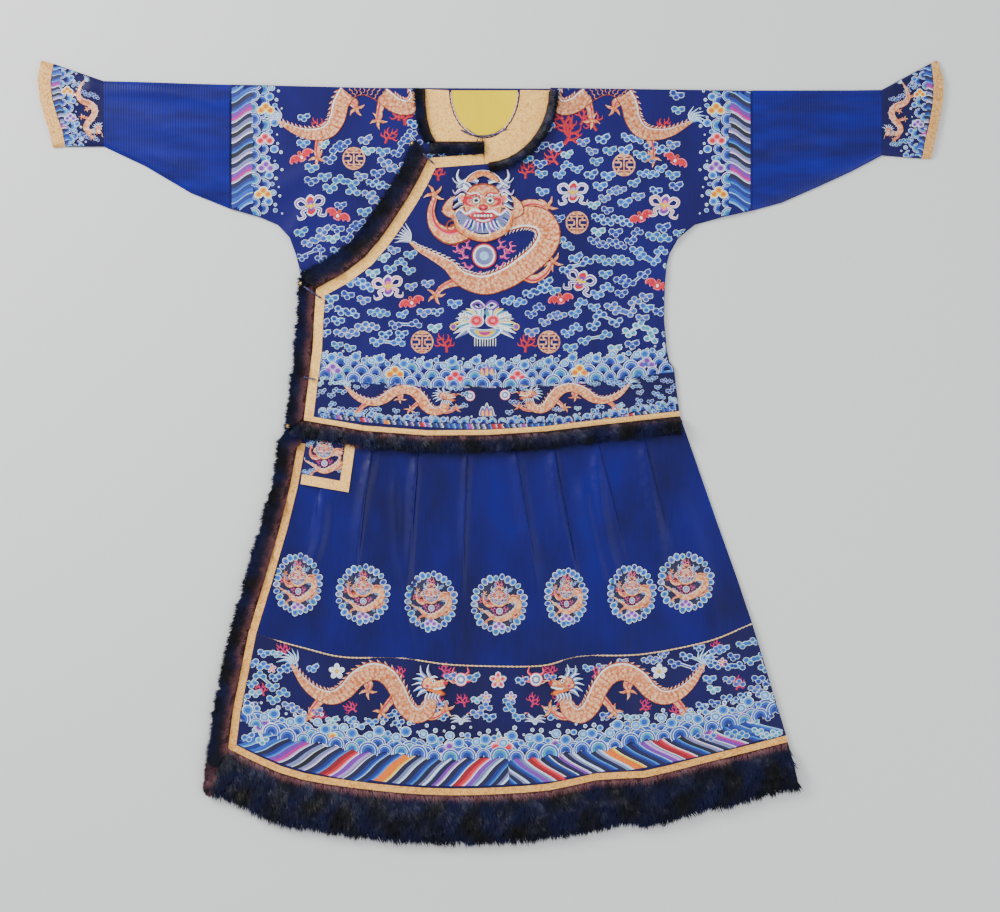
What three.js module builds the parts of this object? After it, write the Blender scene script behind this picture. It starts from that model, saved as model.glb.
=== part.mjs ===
// A fur-trimmed silk court robe laid flat on its back: bodice with an overlap that closes on the
// wearer's right, waistband, pleated skirt and flared cuffs.
// Millimetres, +Z up, +Y towards the collar, -X the wearer's right.
import * as THREE from 'three';

// ---------------------------------------------------------------- driving sizes
const wall = 2; // lined silk
const pleatWall = 1.5; // the skirt's single silk, where it folds under
const seam = 0.3; // clearance wherever two pieces meet
const trimRise = 0.5; // gold brocade is this much thicker than the silk beside it
const level = wall + seam; // height of one layer of cloth in the stack
const pleatLevel = pleatWall + seam;
const frontFloor = level; // underside of the cloth that lies on the back panels

const neck = { x: -12.5, y: 690, halfWidth: 64.5, depth: 89 };
const neckCord = 4; // width of the cord round the neck
const collar = { halfWidth: 126.5, depth: 142 }; // outer edge of the round collar
const sleeveSeamX = 501; // where the plain sleeves are sewn on
const overlapTrim = 20; // widths of the brocade along each edge
const sideTrim = 18;
const waistTrim = 10;
const skirtTrim = 15;
const hemTrim = 13;
const overlapFur = { width: 32, height: 13 };
const sideFur = { width: 27, height: 12 };
const waistFur = { width: 28, height: 11 };
const skirtFur = { width: 30, height: 13 };
const hemFur = { width: 87, height: 17 };
const collarFur = { width: 9, height: 8 };
const pleatDepth = 13; // how far each pleat folds under at the waist

// ---------------------------------------------------------------- measured outlines
// Shoulder line, which is the fold at the top.
const shoulder = [
  { x: -sleeveSeamX, y: 701 },
  { x: -152, y: 693 },
  { x: 113, y: 695 },
  { x: sleeveSeamX, y: 689 },
];

// Overlapping front below the collar: its free edge on the wearer's right, its armhole and side seam
// on the left.
const outerFrontRows = [
  { y: 541, left: -106, right: sleeveSeamX },
  { y: 510, left: -121, right: sleeveSeamX },
  { y: 480, left: -138, right: sleeveSeamX },
  { y: 459, left: -151, right: sleeveSeamX },
  { y: 447, left: -159, right: 445 },
  { y: 436, left: -166, right: 397 },
  { y: 415, left: -180, right: 367 },
  { y: 390, left: -198, right: 346 },
  { y: 355, left: -228, right: 337 },
  { y: 322, left: -271, right: 334 },
  { y: 296, left: -318, right: 333 },
  { y: 252, left: -321, right: 332 },
  { y: 190, left: -324, right: 338 },
  { y: 129, left: -331, right: 351 },
];
const armpitRow = 10; // the edge turns here from the overlap down the side

// Waistband: its seam with the bodice above and its lower edge, from the wearer's right to the left.
const waistbandColumns = [
  { x: -331, seamY: 137, hemX: -340, hemY: 64 },
  { x: -239, seamY: 127, hemX: -242, hemY: 47 },
  { x: -121, seamY: 119, hemX: -122, hemY: 38 },
  { x: -6, seamY: 120, hemX: -6, hemY: 39 },
  { x: 104, seamY: 125, hemX: 105, hemY: 46 },
  { x: 202, seamY: 134, hemX: 205, hemY: 58 },
  { x: 300, seamY: 148, hemX: 306, hemY: 69 },
  { x: 351, seamY: 156, hemX: 361, hemY: 75 },
];

// Armhole on the wearer's right, down to where the side fur begins.
const armholeRows = [
  { y: 463, left: -sleeveSeamX, right: sleeveSeamX },
  { y: 447, left: -444, right: 445 },
  { y: 432, left: -409, right: 391 },
  { y: 407, left: -386, right: 360 },
  { y: 374, left: -374, right: 341 },
  { y: 350, left: -368, right: 336 },
  { y: 335, left: -366, right: 335 },
];
const innerFrontRight = 0; // how far the inner front reaches under the overlap

// Outer edge of the inner collar, from the shoulder round to the middle.
const innerCollarEdge = [
  { x: -130, y: 692 },
  { x: -129, y: 662 },
  { x: -126, y: 634 },
  { x: -119, y: 608 },
  { x: -110, y: 592 },
  { x: -60, y: 592 },
  { x: -13, y: 592 },
];

// Skirt, from the waist to the hem: inner edge of the side trim and the side seam.
const skirtSides = [
  { y: 12, left: -355, right: 372 },
  { y: -73, left: -371, right: 408 },
  { y: -150, left: -390, right: 438 },
  { y: -248, left: -418, right: 473 },
  { y: -353, left: -450, right: 509 },
  { y: -428, left: -465, right: 533 },
  { y: -501, left: -480, right: 551 },
  { y: -566, left: -488, right: 566 },
];
const cordLine = [
  { x: -450, y: -354 },
  { x: -361, y: -379 },
  { x: -282, y: -397 },
  { x: -177, y: -399 },
  { x: -67, y: -412 },
  { x: 90, y: -414 },
  { x: 170, y: -396 },
  { x: 293, y: -391 },
  { x: 415, y: -367 },
  { x: 501, y: -333 },
];
const hemLine = [
  { x: -488, y: -566 },
  { x: -371, y: -616 },
  { x: -206, y: -641 },
  { x: -69, y: -649 },
  { x: 96, y: -641 },
  { x: 213, y: -618 },
  { x: 292, y: -615 },
  { x: 428, y: -582 },
  { x: 566, y: -547 },
];

// Pleats, from the wearer's right: x at the waist and at the cord, the share of the skirt's length over
// which the fold opens out, and the side it is folded to, +1 under the layer on its right, -1 on its left.
const pleats = [
  { waistX: -300, cordX: -393, opensAt: 0.56, side: -1 },
  { waistX: -224, cordX: -277, opensAt: 0.72, side: 1 },
  { waistX: -134, cordX: -168, opensAt: 0.66, side: -1 },
  { waistX: -46, cordX: -56, opensAt: 0.78, side: 1 },
  { waistX: 42, cordX: 117, opensAt: 0.75, side: 1 },
  { waistX: 115, cordX: 196, opensAt: 0.74, side: 1 },
  { waistX: 198, cordX: 305, opensAt: 0.66, side: 1 },
  { waistX: 286, cordX: 392, opensAt: 0.62, side: 1 },
];

// How a fold opens: eight points across it, as offset from the fold, height in pleat levels and tilt
// of the wall in degrees, when flat, when standing on edge, and when folded under.
const foldPoints = [
  { flat: [-9, 0, 0], onEdge: [-6, 2, 0], folded: [-6, 2, 0] },
  { flat: [-6, 0, 0], onEdge: [-1.6, 2, 30], folded: [-1.2, 2, 25] },
  { flat: [-3.2, 0, 0], onEdge: [-0.2, 1.55, 80], folded: [0, 1.5, 90] },
  { flat: [-1, 0, 0], onEdge: [0, 1.2, 90], folded: [-1.2, 1, 155] },
  { flat: [1, 0, 0], onEdge: [0, 0.8, 90], folded: [1.2 - pleatDepth, 1, 155] },
  { flat: [3.2, 0, 0], onEdge: [0.2, 0.45, 80], folded: [-pleatDepth, 0.5, 90] },
  { flat: [6, 0, 0], onEdge: [1.6, 0, 30], folded: [1.2 - pleatDepth, 0, 25] },
  { flat: [9, 0, 0], onEdge: [6, 0, 0], folded: [6, 0, 0] },
];
const onEdgeShare = 0.4; // share of the opening at which a fold stands on edge

// Flattened sleeve: upper and lower fold at each station out from the bodice.
const rightSleeve = [
  { x: -sleeveSeamX, lowY: 463, highY: 701 },
  { x: -576, lowY: 493, highY: 703 },
  { x: -664, lowY: 545, highY: 706 },
  { x: -743, lowY: 582, highY: 708 },
];
const leftSleeve = [
  { x: sleeveSeamX, lowY: 459, highY: 690 },
  { x: 557, lowY: 474, highY: 690 },
  { x: 630, lowY: 506, highY: 690 },
  { x: 691, lowY: 534, highY: 690 },
  { x: 750, lowY: 565, highY: 691 },
];
// Horse-hoof cuff: the sleeve seam, the inner edge of the brocade and the free edge, from the lower fold up.
const rightCuff = [
  { seam: [-743, 582], trim: [-816, 582], edge: [-840, 580] },
  { seam: [-743, 614], trim: [-824, 622], edge: [-849, 618] },
  { seam: [-743, 645], trim: [-838, 657], edge: [-861, 653] },
  { seam: [-743, 677], trim: [-846, 697], edge: [-871, 701] },
  { seam: [-743, 708], trim: [-839, 741], edge: [-863, 748] },
];
const leftCuff = [
  { seam: [750, 565], trim: [826, 559], edge: [844, 559] },
  { seam: [750, 597], trim: [834, 601], edge: [855, 610] },
  { seam: [750, 628], trim: [844, 644], edge: [865, 658] },
  { seam: [750, 660], trim: [850, 690], edge: [871, 700] },
  { seam: [750, 691], trim: [844, 742], edge: [856, 748] },
];

// Small square patch hung from the waist beside the opening.
const patch = { left: -352, right: -260, drop: 92, lean: -13, trim: 19, lift: 2 * pleatLevel };

// ---------------------------------------------------------------- finishes
const finish = (color, roughness, metalness = 0) =>
  new THREE.MeshStandardMaterial({ color, roughness, metalness });
const navySilk = finish('#1c1f6a', 0.6);
const blueSatin = finish('#0f1f9c', 0.45);
const ribbedSilk = finish('#0a1a8e', 0.5);
const yellowSilk = finish('#f2d81c', 0.5);
const brocade = finish('#d9b271', 0.55, 0.2);
const fur = finish('#12122e', 0.95);
const cord = finish('#17143c', 0.7);
const paleCord = finish('#e9cfc0', 0.7);
const brass = finish('#d8ab58', 0.35, 0.9);

// ---------------------------------------------------------------- small helpers
const mix = (a, b, t) => a + (b - a) * t;
const clamp = (t, low = 0, high = 1) => Math.min(high, Math.max(low, t));
const ease = (t) => clamp(t) ** 2 * (3 - 2 * clamp(t));
const point = (x, y, z = 0) => new THREE.Vector3(x, y, z);
const radians = THREE.MathUtils.degToRad;

// The value of column `name` where the rows' `by` column passes `at`; the rows may run up or down.
function along(rows, by, name, at) {
  const rising = rows[rows.length - 1][by] > rows[0][by];
  const passed = (row) => (rising ? row[by] <= at : row[by] >= at);
  let i = rows.findIndex((row) => !passed(row)) - 1;
  if (i === -2) i = rows.length - 2;
  i = clamp(i, 0, rows.length - 2);
  const share = (at - rows[i][by]) / (rows[i + 1][by] - rows[i][by]);
  return mix(rows[i][name], rows[i + 1][name], clamp(share));
}

// Soft unevenness of cloth at rest, never below zero. All layers share it, so they stay parallel.
function drape(x, y) {
  const bodice = 0.8 + 0.5 * Math.sin(x / 61 + y / 93) + 0.3 * Math.sin(y / 47 - x / 130);
  const wave = 1 - Math.cos((x + 0.06 * y) / 30 + 1.2 * Math.sin(x / 150));
  return bodice + 1.7 * wave * ease((-60 - y) / 330);
}

// A closed solid between two grids of points, upper[i][j] over lower[i][j].
function solidBetween(upper, lower) {
  const rows = upper.length;
  const columns = upper[0].length;
  const positions = [...upper, ...lower].flat().flatMap((p) => [p.x, p.y, p.z]);
  const faces = [];
  const quad = (a, b, c, d) => faces.push(a, b, c, a, c, d);
  const up = (i, j) => i * columns + j;
  const low = (i, j) => (rows + i) * columns + j;
  for (let i = 0; i + 1 < rows; i++) {
    for (let j = 0; j + 1 < columns; j++) {
      quad(up(i, j), up(i + 1, j), up(i + 1, j + 1), up(i, j + 1));
      quad(low(i, j), low(i, j + 1), low(i + 1, j + 1), low(i + 1, j));
    }
    quad(up(i, 0), low(i, 0), low(i + 1, 0), up(i + 1, 0));
    quad(up(i, columns - 1), up(i + 1, columns - 1), low(i + 1, columns - 1), low(i, columns - 1));
  }
  for (let j = 0; j + 1 < columns; j++) {
    quad(up(0, j), up(0, j + 1), low(0, j + 1), low(0, j));
    quad(up(rows - 1, j), low(rows - 1, j), low(rows - 1, j + 1), up(rows - 1, j + 1));
  }
  return facingOut(positions, faces);
}

// A tube wall between outer and inner rings, open at both ends.
function tubeBetween(outer, inner) {
  const stations = outer.length;
  const around = outer[0].length;
  const positions = [...outer, ...inner].flat().flatMap((p) => [p.x, p.y, p.z]);
  const faces = [];
  const quad = (a, b, c, d) => faces.push(a, b, c, a, c, d);
  const out = (i, j) => i * around + (j % around);
  const inn = (i, j) => (stations + i) * around + (j % around);
  for (let j = 0; j < around; j++) {
    for (let i = 0; i + 1 < stations; i++) {
      quad(out(i, j), out(i, j + 1), out(i + 1, j + 1), out(i + 1, j));
      quad(inn(i, j), inn(i + 1, j), inn(i + 1, j + 1), inn(i, j + 1));
    }
    quad(out(0, j), inn(0, j), inn(0, j + 1), out(0, j + 1));
    quad(out(stations - 1, j), out(stations - 1, j + 1), inn(stations - 1, j + 1), inn(stations - 1, j));
  }
  return facingOut(positions, faces);
}

// A geometry from points and triangles, turned so that its faces point out.
function facingOut(positions, faces) {
  const corner = (i) => point(positions[3 * i], positions[3 * i + 1], positions[3 * i + 2]);
  let volume = 0;
  for (let f = 0; f < faces.length; f += 3) {
    volume += corner(faces[f]).dot(corner(faces[f + 1]).cross(corner(faces[f + 2])));
  }
  if (volume < 0) {
    for (let f = 0; f < faces.length; f += 3) {
      [faces[f + 1], faces[f + 2]] = [faces[f + 2], faces[f + 1]];
    }
  }
  const geometry = new THREE.BufferGeometry();
  geometry.setAttribute('position', new THREE.Float32BufferAttribute(positions, 3));
  geometry.setIndex(faces);
  geometry.computeVertexNormals();
  return geometry;
}

// Cloth over a plan grid of {x, y}: its underside at bottomOf(x, y), a wall's thickness above that its face.
function clothOver(plan, bottomOf, thickness) {
  const lower = plan.map((row) => row.map((p) => point(p.x, p.y, bottomOf(p.x, p.y))));
  const upper = lower.map((row) => row.map((p) => point(p.x, p.y, p.z + thickness)));
  return solidBetween(upper, lower);
}

// Plan grid of a panel given by rows of {y, left, right}, cut at the given shares of its width;
// `bend` may move each point.
function planOfRows(rows, shares, bend = (p) => p) {
  return rows.map((row) => shares.map((s) => bend({ x: mix(row.left, row.right, s), y: row.y })));
}
const evenly = (count) => Array.from({ length: count + 1 }, (_, j) => j / count);

// Plan grid between two lines of points that match one for one.
function planBetween(first, second, across) {
  return first.map((a, i) =>
    Array.from({ length: across + 1 }, (_, j) => ({
      x: mix(a.x, second[i].x, j / across),
      y: mix(a.y, second[i].y, j / across),
    })),
  );
}

// The path moved sideways to its right by widths[i] along segment i, with mitred corners.
function offsetPath(path, widths) {
  const sides = path.slice(1).map((p, i) => {
    const ahead = new THREE.Vector2(p.x - path[i].x, p.y - path[i].y).normalize();
    return new THREE.Vector2(ahead.y, -ahead.x);
  });
  return path.map((p, i) => {
    const a = sides[Math.max(i - 1, 0)];
    const b = sides[Math.min(i, sides.length - 1)];
    const wa = widths[Math.max(i - 1, 0)];
    const wb = widths[Math.min(i, sides.length - 1)];
    const cross = a.x * b.y - a.y * b.x;
    if (Math.abs(cross) < 0.02) {
      const both = a.clone().add(b).normalize();
      const width = (wa + wb) / 2;
      return { x: p.x + both.x * width, y: p.y + both.y * width };
    }
    return {
      x: p.x + (wa * b.y - wb * a.y) / cross,
      y: p.y + (wb * a.x - wa * b.x) / cross,
    };
  });
}

// The stretch of a path from one corner to another, pulled back at both ends so that neighbours stay clear.
function stretch(path, from, to) {
  const kept = path.slice(from, to + 1).map((p) => ({ ...p }));
  const pullBack = (end, next) => {
    const length = Math.hypot(next.x - end.x, next.y - end.y);
    end.x += ((next.x - end.x) * seam) / length;
    end.y += ((next.y - end.y) * seam) / length;
  };
  pullBack(kept[0], kept[1]);
  pullBack(kept[kept.length - 1], kept[kept.length - 2]);
  return kept;
}

// Points added to a path so that no segment is longer than `longest`.
function finer(path, longest) {
  return path.flatMap((p, i) => {
    if (i === 0) return [p];
    const last = path[i - 1];
    const count = Math.ceil(Math.hypot(p.x - last.x, p.y - last.y) / longest);
    return Array.from({ length: count }, (_, k) => ({
      x: mix(last.x, p.x, (k + 1) / count),
      y: mix(last.y, p.y, (k + 1) / count),
    }));
  });
}

// A smooth line through the given points, with a point about every `spacing`.
function smoothed(line, spacing) {
  const curve = new THREE.SplineCurve(line.map((p) => new THREE.Vector2(p.x, p.y)));
  return curve.getSpacedPoints(Math.round(curve.getLength() / spacing)).map((p) => ({ x: p.x, y: p.y }));
}

// ---------------------------------------------------------------- heights of the stack
// The overlap lies on the inner front as far as the middle, and beyond it on the back panel.
const overlapFloor = (x, y) => frontFloor + drape(x, y) + (level + seam) * ease((130 - x) / 70);
const innerFloor = (x, y) => frontFloor + drape(x, y);
const skirtFloor = (x, y) => frontFloor + drape(x, y);

// ---------------------------------------------------------------- edges shared by panels and trims
const shoulderY = (x) => along(shoulder, 'x', 'y', x);
const toShoulder = (p) => (p.y >= neck.y ? { x: p.x, y: shoulderY(p.x) } : p);
const bodiceSeam = finer(waistbandColumns.map((c) => ({ x: c.x, y: c.seamY })), 62);
const lastBodiceY = outerFrontRows[outerFrontRows.length - 1].y;
const armpitY = outerFrontRows[armpitRow].y;
// Below the armpit the rows are stretched so that the last one lies on the curved waist seam.
const toBodiceSeam = (p) => {
  const down = clamp((armpitY - p.y) / (armpitY - lastBodiceY));
  return { x: p.x, y: mix(p.y, along(bodiceSeam, 'x', 'y', p.x) + seam, down * down) };
};

// The edge that carries brocade and fur: from the collar along the overlap to the armpit, down to the
// waist and across to the side seam.
const joined = (...parts) => parts.flatMap((part, i) => (i === 0 ? part : part.slice(1)));
const overlapStart = outerFrontRows[0];
const edgeParts = [
  [{ x: neck.x - seam, y: neck.y - collar.depth }, { x: overlapStart.left, y: overlapStart.y }],
  outerFrontRows.slice(0, armpitRow + 1).map((row) => ({ x: row.left, y: row.y })),
  finer(
    [
      ...outerFrontRows.slice(armpitRow, -1).map((row) => ({ x: row.left, y: row.y })),
      { x: waistbandColumns[0].x, y: waistbandColumns[0].seamY },
      { x: waistbandColumns[0].hemX, y: waistbandColumns[0].hemY },
    ],
    50,
  ),
  finer(waistbandColumns.map((c) => ({ x: c.hemX, y: c.hemY })), 62),
];
const overlapEdge = joined(...edgeParts);
const corner = { collar: 0 };
['overlap', 'armpit', 'waist', 'side'].reduce((passed, name, i) => {
  corner[name] = passed + edgeParts[i].length - 1;
  return corner[name];
}, 0);

// One value for each segment of the edge: the first for the overlap, then for the side and for the waist.
const byStretch = (overlap, side, waist) =>
  overlapEdge.slice(1).map((_, i) => {
    if (i < corner.armpit) return overlap;
    return i < corner.waist ? side : waist;
  });
const sum = (a, b) => a.map((value, i) => value + b[i]);
const same = (list, value) => list.map(() => value);
const trimWidth = byStretch(overlapTrim, sideTrim, waistTrim);
const furWidth = byStretch(overlapFur.width, sideFur.width, waistFur.width);
const trimInner = offsetPath(overlapEdge, same(trimWidth, seam));
const trimOuter = offsetPath(overlapEdge, trimWidth);
const furInner = offsetPath(overlapEdge, sum(trimWidth, same(trimWidth, seam)));
const furOuter = offsetPath(overlapEdge, sum(trimWidth, furWidth));
const sideFurEdge = furInner.slice(corner.armpit, corner.waist + 1);
const besideSideFur = sideFurEdge.map((p) => ({ x: p.x + 2 * seam, y: p.y }));
const underWaistTrim = trimOuter.slice(corner.waist).map((p) => ({ x: p.x, y: p.y - seam }));
const underWaistFur = furOuter.slice(corner.waist).map((p) => ({ x: p.x, y: p.y - seam }));

// The same for the skirt: down its side and along the hem.
const borderSeam = smoothed(cordLine, 24);
const hemEdge = smoothed(hemLine, 46);
const seamLeft = cordLine[0];
const seamRight = cordLine[cordLine.length - 1];
const skirtEdge = [...skirtSides.slice(0, -1).map((row) => ({ x: row.left, y: row.y })), ...hemEdge];
const hemCorner = skirtSides.length - 1;
const skirtEnd = skirtEdge.length - 1;
const alongSkirt = (side, hem) => skirtEdge.slice(1).map((_, i) => (i < hemCorner ? side : hem));
const skirtTrimWidth = alongSkirt(skirtTrim, hemTrim);
const skirtFurWidth = alongSkirt(skirtFur.width, hemFur.width);
const skirtTrimInner = offsetPath(skirtEdge, same(skirtTrimWidth, seam));
const skirtTrimOuter = offsetPath(skirtEdge, skirtTrimWidth);
const skirtFurInner = offsetPath(skirtEdge, sum(skirtTrimWidth, same(skirtTrimWidth, seam)));
const skirtFurOuter = offsetPath(skirtEdge, sum(skirtTrimWidth, skirtFurWidth));

// ---------------------------------------------------------------- pieces
const robe = new THREE.Group();
robe.name = 'court_robe';
function piece(name, geometry, material) {
  const mesh = new THREE.Mesh(geometry, material);
  mesh.name = name;
  robe.add(mesh);
  return mesh;
}

// Brocade along part of an edge.
function trimAlong(name, inner, outer, from, to, floor) {
  const plan = planBetween(stretch(inner, from, to), stretch(outer, from, to), 1);
  piece(name, clothOver(plan, floor, wall + trimRise), brocade);
}

// Fur along part of an edge: a soft roll, low at both sides, with a slightly ragged outer edge.
const furProfile = [
  { across: 0, rise: 0.4 },
  { across: 0.22, rise: 0.86 },
  { across: 0.5, rise: 1 },
  { across: 0.78, rise: 0.8 },
  { across: 1, rise: 0.24 },
];
function furAlong(name, inner, outer, height, bottomOf) {
  const ragged = (i) => 1 - 0.05 * (1 + Math.sin(i * 2.4)) * Math.sin(i * 1.1) ** 2;
  const upper = [];
  const lower = [];
  inner.forEach((a, i) => {
    const b = outer[i];
    upper.push([]);
    lower.push([]);
    furProfile.forEach(({ across, rise }) => {
      const x = mix(a.x, b.x, across * ragged(i));
      const y = mix(a.y, b.y, across * ragged(i));
      const bottom = bottomOf(x, y, across);
      lower[i].push(point(x, y, bottom));
      upper[i].push(point(x, y, bottom + height * rise));
    });
  });
  piece(name, solidBetween(upper, lower), fur);
}

// Upper part of a bodice panel: shoulder, armhole, and down inside the side fur.
function bodiceRows(rightAt, bottomY) {
  const turn = armholeRows[armholeRows.length - 1];
  const lower = [
    { x: besideSideFur[0].x, y: turn.y - 1 },
    ...besideSideFur.filter((p) => p.y < turn.y - 2 && p.y > bottomY + 5),
    { x: along(besideSideFur, 'y', 'x', bottomY), y: bottomY },
  ];
  return [
    { y: neck.y, left: -sleeveSeamX, right: rightAt(neck.y) },
    ...armholeRows.map((row) => ({ ...row, right: Math.min(row.right, rightAt(row.y)) })),
    ...lower.map((p) => ({ y: p.y, left: p.x, right: rightAt(p.y) })),
  ];
}

function backPanels() {
  const flat = () => 0;
  const bodiceBottom = 60;
  const rightSeam = [...outerFrontRows.slice(armpitRow), { y: bodiceBottom, right: 362 }];
  const sideSeam = (y) => (y > armpitY + 40 ? sleeveSeamX : along(rightSeam, 'y', 'right', y));
  const bodice = planOfRows(bodiceRows(sideSeam, bodiceBottom), evenly(4), toShoulder);
  piece('back_bodice', clothOver(bodice, flat, wall), navySilk);
  const hemSide = skirtTrimOuter.slice(hemCorner);
  const shares = evenly(hemSide.length - 1);
  const backSeam = shares.map((share) => {
    const x = mix(seamLeft.x - skirtTrim, seamRight.x, share);
    return { x, y: along(borderSeam, 'x', 'y', x) };
  });
  const skirtRows = [
    { y: bodiceBottom - 1, left: -355, right: 362 },
    { y: 25, left: -355, right: 368 },
    ...skirtSides.slice(0, 4).map((row) => ({ ...row, left: row.left - skirtTrim })),
  ];
  const skirt = [...planOfRows(skirtRows, shares), backSeam.map((p) => ({ x: p.x, y: p.y + seam }))];
  piece('back_skirt', clothOver(skirt, flat, wall), blueSatin);
  const hem = hemSide.map((p) => ({ x: p.x, y: p.y + seam }));
  piece('back_border', clothOver(planBetween(backSeam, hem, 3), flat, wall), navySilk);
}

function bodiceFronts() {
  const collarSide = innerCollarEdge.slice(0, 5);
  const top = collarSide.map((p) => ({ y: p.y, left: -sleeveSeamX, right: p.x - seam }));
  const rows = bodiceRows(() => innerFrontRight, 141);
  const underCollar = { y: collarSide[4].y - seam, left: -sleeveSeamX, right: innerFrontRight };
  const below = [underCollar, ...rows.slice(1)];
  const inner = planOfRows([...top, ...below], evenly(7), toShoulder);
  piece('inner_front', clothOver(inner, innerFloor, wall), navySilk);

  const quarter = Math.PI / 2;
  const collarRows = roundNeck(collar.halfWidth, collar.depth, 0, quarter, 9).map((p) => ({
    y: p.y,
    left: p.x,
    right: sleeveSeamX,
  }));
  const seamLength = bodiceSeam[bodiceSeam.length - 1].x - bodiceSeam[0].x;
  const shares = bodiceSeam.map((p) => (p.x - bodiceSeam[0].x) / seamLength);
  const bend = (p) => toShoulder(toBodiceSeam(p));
  const outer = planOfRows([...collarRows, ...outerFrontRows], shares, bend);
  piece('outer_front', clothOver(outer, overlapFloor, wall), navySilk);
  const lower = finer(waistbandColumns.map((c) => ({ x: c.hemX, y: c.hemY })), 62);
  const bottom = bodiceSeam.map((_, j) => {
    const x = mix(lower[0].x, lower[lower.length - 1].x, shares[j]);
    return { x, y: along(lower, 'x', 'y', x) };
  });
  piece('waistband', clothOver(planBetween(bodiceSeam, bottom, 2), overlapFloor, wall), navySilk);
}

// Points on an ellipse round the neck, from the wearer's left shoulder down to the front.
function roundNeck(halfWidth, depth, from, to, steps) {
  return Array.from({ length: steps + 1 }, (_, i) => {
    const angle = mix(from, to, i / steps);
    return { x: neck.x + halfWidth * Math.cos(angle), y: neck.y - depth * Math.sin(angle) };
  });
}

function collars() {
  const quarter = Math.PI / 2;
  const atNeck = roundNeck(neck.halfWidth + neckCord, neck.depth + neckCord, 0, quarter, 9);
  const atEdge = roundNeck(collar.halfWidth - 2 * seam, collar.depth - seam, 0, quarter, 9);
  piece('outer_collar', clothOver(planBetween(atNeck, atEdge, 2), overlapFloor, wall + trimRise), brocade);
  const innerEdge = roundNeck(neck.halfWidth + neckCord, neck.depth + neckCord, Math.PI, quarter, 6);
  const innerPlan = planBetween(innerCollarEdge, innerEdge, 2);
  piece('inner_collar', clothOver(innerPlan, innerFloor, wall + trimRise), brocade);

  // The lining of the back neck shows through the opening.
  const rows = [0, 1, 2, 3, 4, 5].map((i) => {
    const y = neck.y - (i / 5) * 86;
    const half = (neck.halfWidth - 1) * Math.sqrt(1 - ((neck.y - y) / (neck.depth - 1)) ** 2);
    return { y, left: neck.x - half, right: neck.x + half };
  });
  piece('neck_lining', clothOver(planOfRows(rows, evenly(6)), () => frontFloor, 1), yellowSilk);

  const path = new THREE.CatmullRomCurve3(
    roundNeck(neck.halfWidth + neckCord / 2, neck.depth + neckCord / 2, 0.06, Math.PI - 0.06, 12).map((p) =>
      point(p.x, p.y, overlapFloor(p.x, p.y) + neckCord / 2 - 0.3),
    ),
  );
  piece('neck_cord', cordAlong(path, neckCord / 2 - seam, 22), paleCord);
}

// A round cord along a curve.
function cordAlong(path, radius, steps) {
  const section = new THREE.Shape();
  section.absarc(0, 0, radius, 0, 2 * Math.PI);
  return new THREE.ExtrudeGeometry(section, { steps, extrudePath: path, curveSegments: 3 });
}

// One row across the pleated skirt: points {x, lift, tilt} from the wearer's right to the left.
function pleatSection(down) {
  const leftY = mix(underWaistTrim[0].y, seamLeft.y, down);
  const leftX = along(skirtSides, 'y', 'left', leftY) + 3 * seam;
  const rightX = mix(363, seamRight.x, down);
  const section = [{ x: leftX, lift: 0, tilt: 0 }];
  let lift = 0;
  const panelPoint = (x, height) => section.push({ x, lift: height, tilt: 0 });
  pleats.forEach((pleat, index) => {
    const open = clamp(1 - down / pleat.opensAt);
    const x = mix(pleat.waistX, pleat.cordX, down);
    const points = foldPoints.map(({ flat, onEdge, folded }) => {
      const early = open < onEdgeShare;
      const [from, to] = early ? [flat, onEdge] : [onEdge, folded];
      const t = early ? open / onEdgeShare : (open - onEdgeShare) / (1 - onEdgeShare);
      return { dx: mix(from[0], to[0], t), lift: mix(from[1], to[1], t), tilt: mix(from[2], to[2], t) };
    });
    if (pleat.side < 0) {
      points.reverse();
      points.forEach((p) => {
        p.dx *= -1;
        p.tilt *= -1;
      });
    }
    const last = section[section.length - 1];
    const start = { x: x + points[0].dx, lift: points[0].lift };
    const between = index === 0 ? 1 : 2;
    for (let k = 1; k <= between; k++) {
      const t = k / (between + 1);
      panelPoint(mix(last.x, start.x, t), mix(lift, start.lift, ease(t)));
    }
    points.forEach((p) => section.push({ x: x + p.dx, lift: p.lift, tilt: p.tilt }));
    lift = points[points.length - 1].lift;
  });
  const last = section[section.length - 1];
  [0.33, 0.67, 1].forEach((t) => panelPoint(mix(last.x, rightX, t), mix(lift, 0, t)));
  return section;
}

function skirtFront() {
  const stations = [0, 0.12, 0.24, 0.34, 0.44, 0.54, 0.64, 0.74, 0.86, 1];
  const upper = [];
  const lower = [];
  stations.forEach((down) => {
    const row = pleatSection(down).map(({ x, lift, tilt }) => {
      const waistY = along(underWaistTrim, 'x', 'y', mix(x, x * 0.72, down)) - seam;
      const cordY = along(borderSeam, 'x', 'y', mix(x * 1.38, x, down)) + 3 * seam;
      const y = mix(waistY, cordY, down);
      const z = skirtFloor(x, y) + pleatWall / 2 + lift * pleatLevel;
      const lean = point(Math.sin(radians(tilt)), 0, Math.cos(radians(tilt))).multiplyScalar(pleatWall / 2);
      return { middle: point(x, y, z), lean };
    });
    upper.push(row.map(({ middle, lean }) => middle.clone().add(lean)));
    lower.push(row.map(({ middle, lean }) => middle.clone().sub(lean)));
  });
  piece('skirt_front', solidBetween(upper, lower), blueSatin);
}

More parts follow.
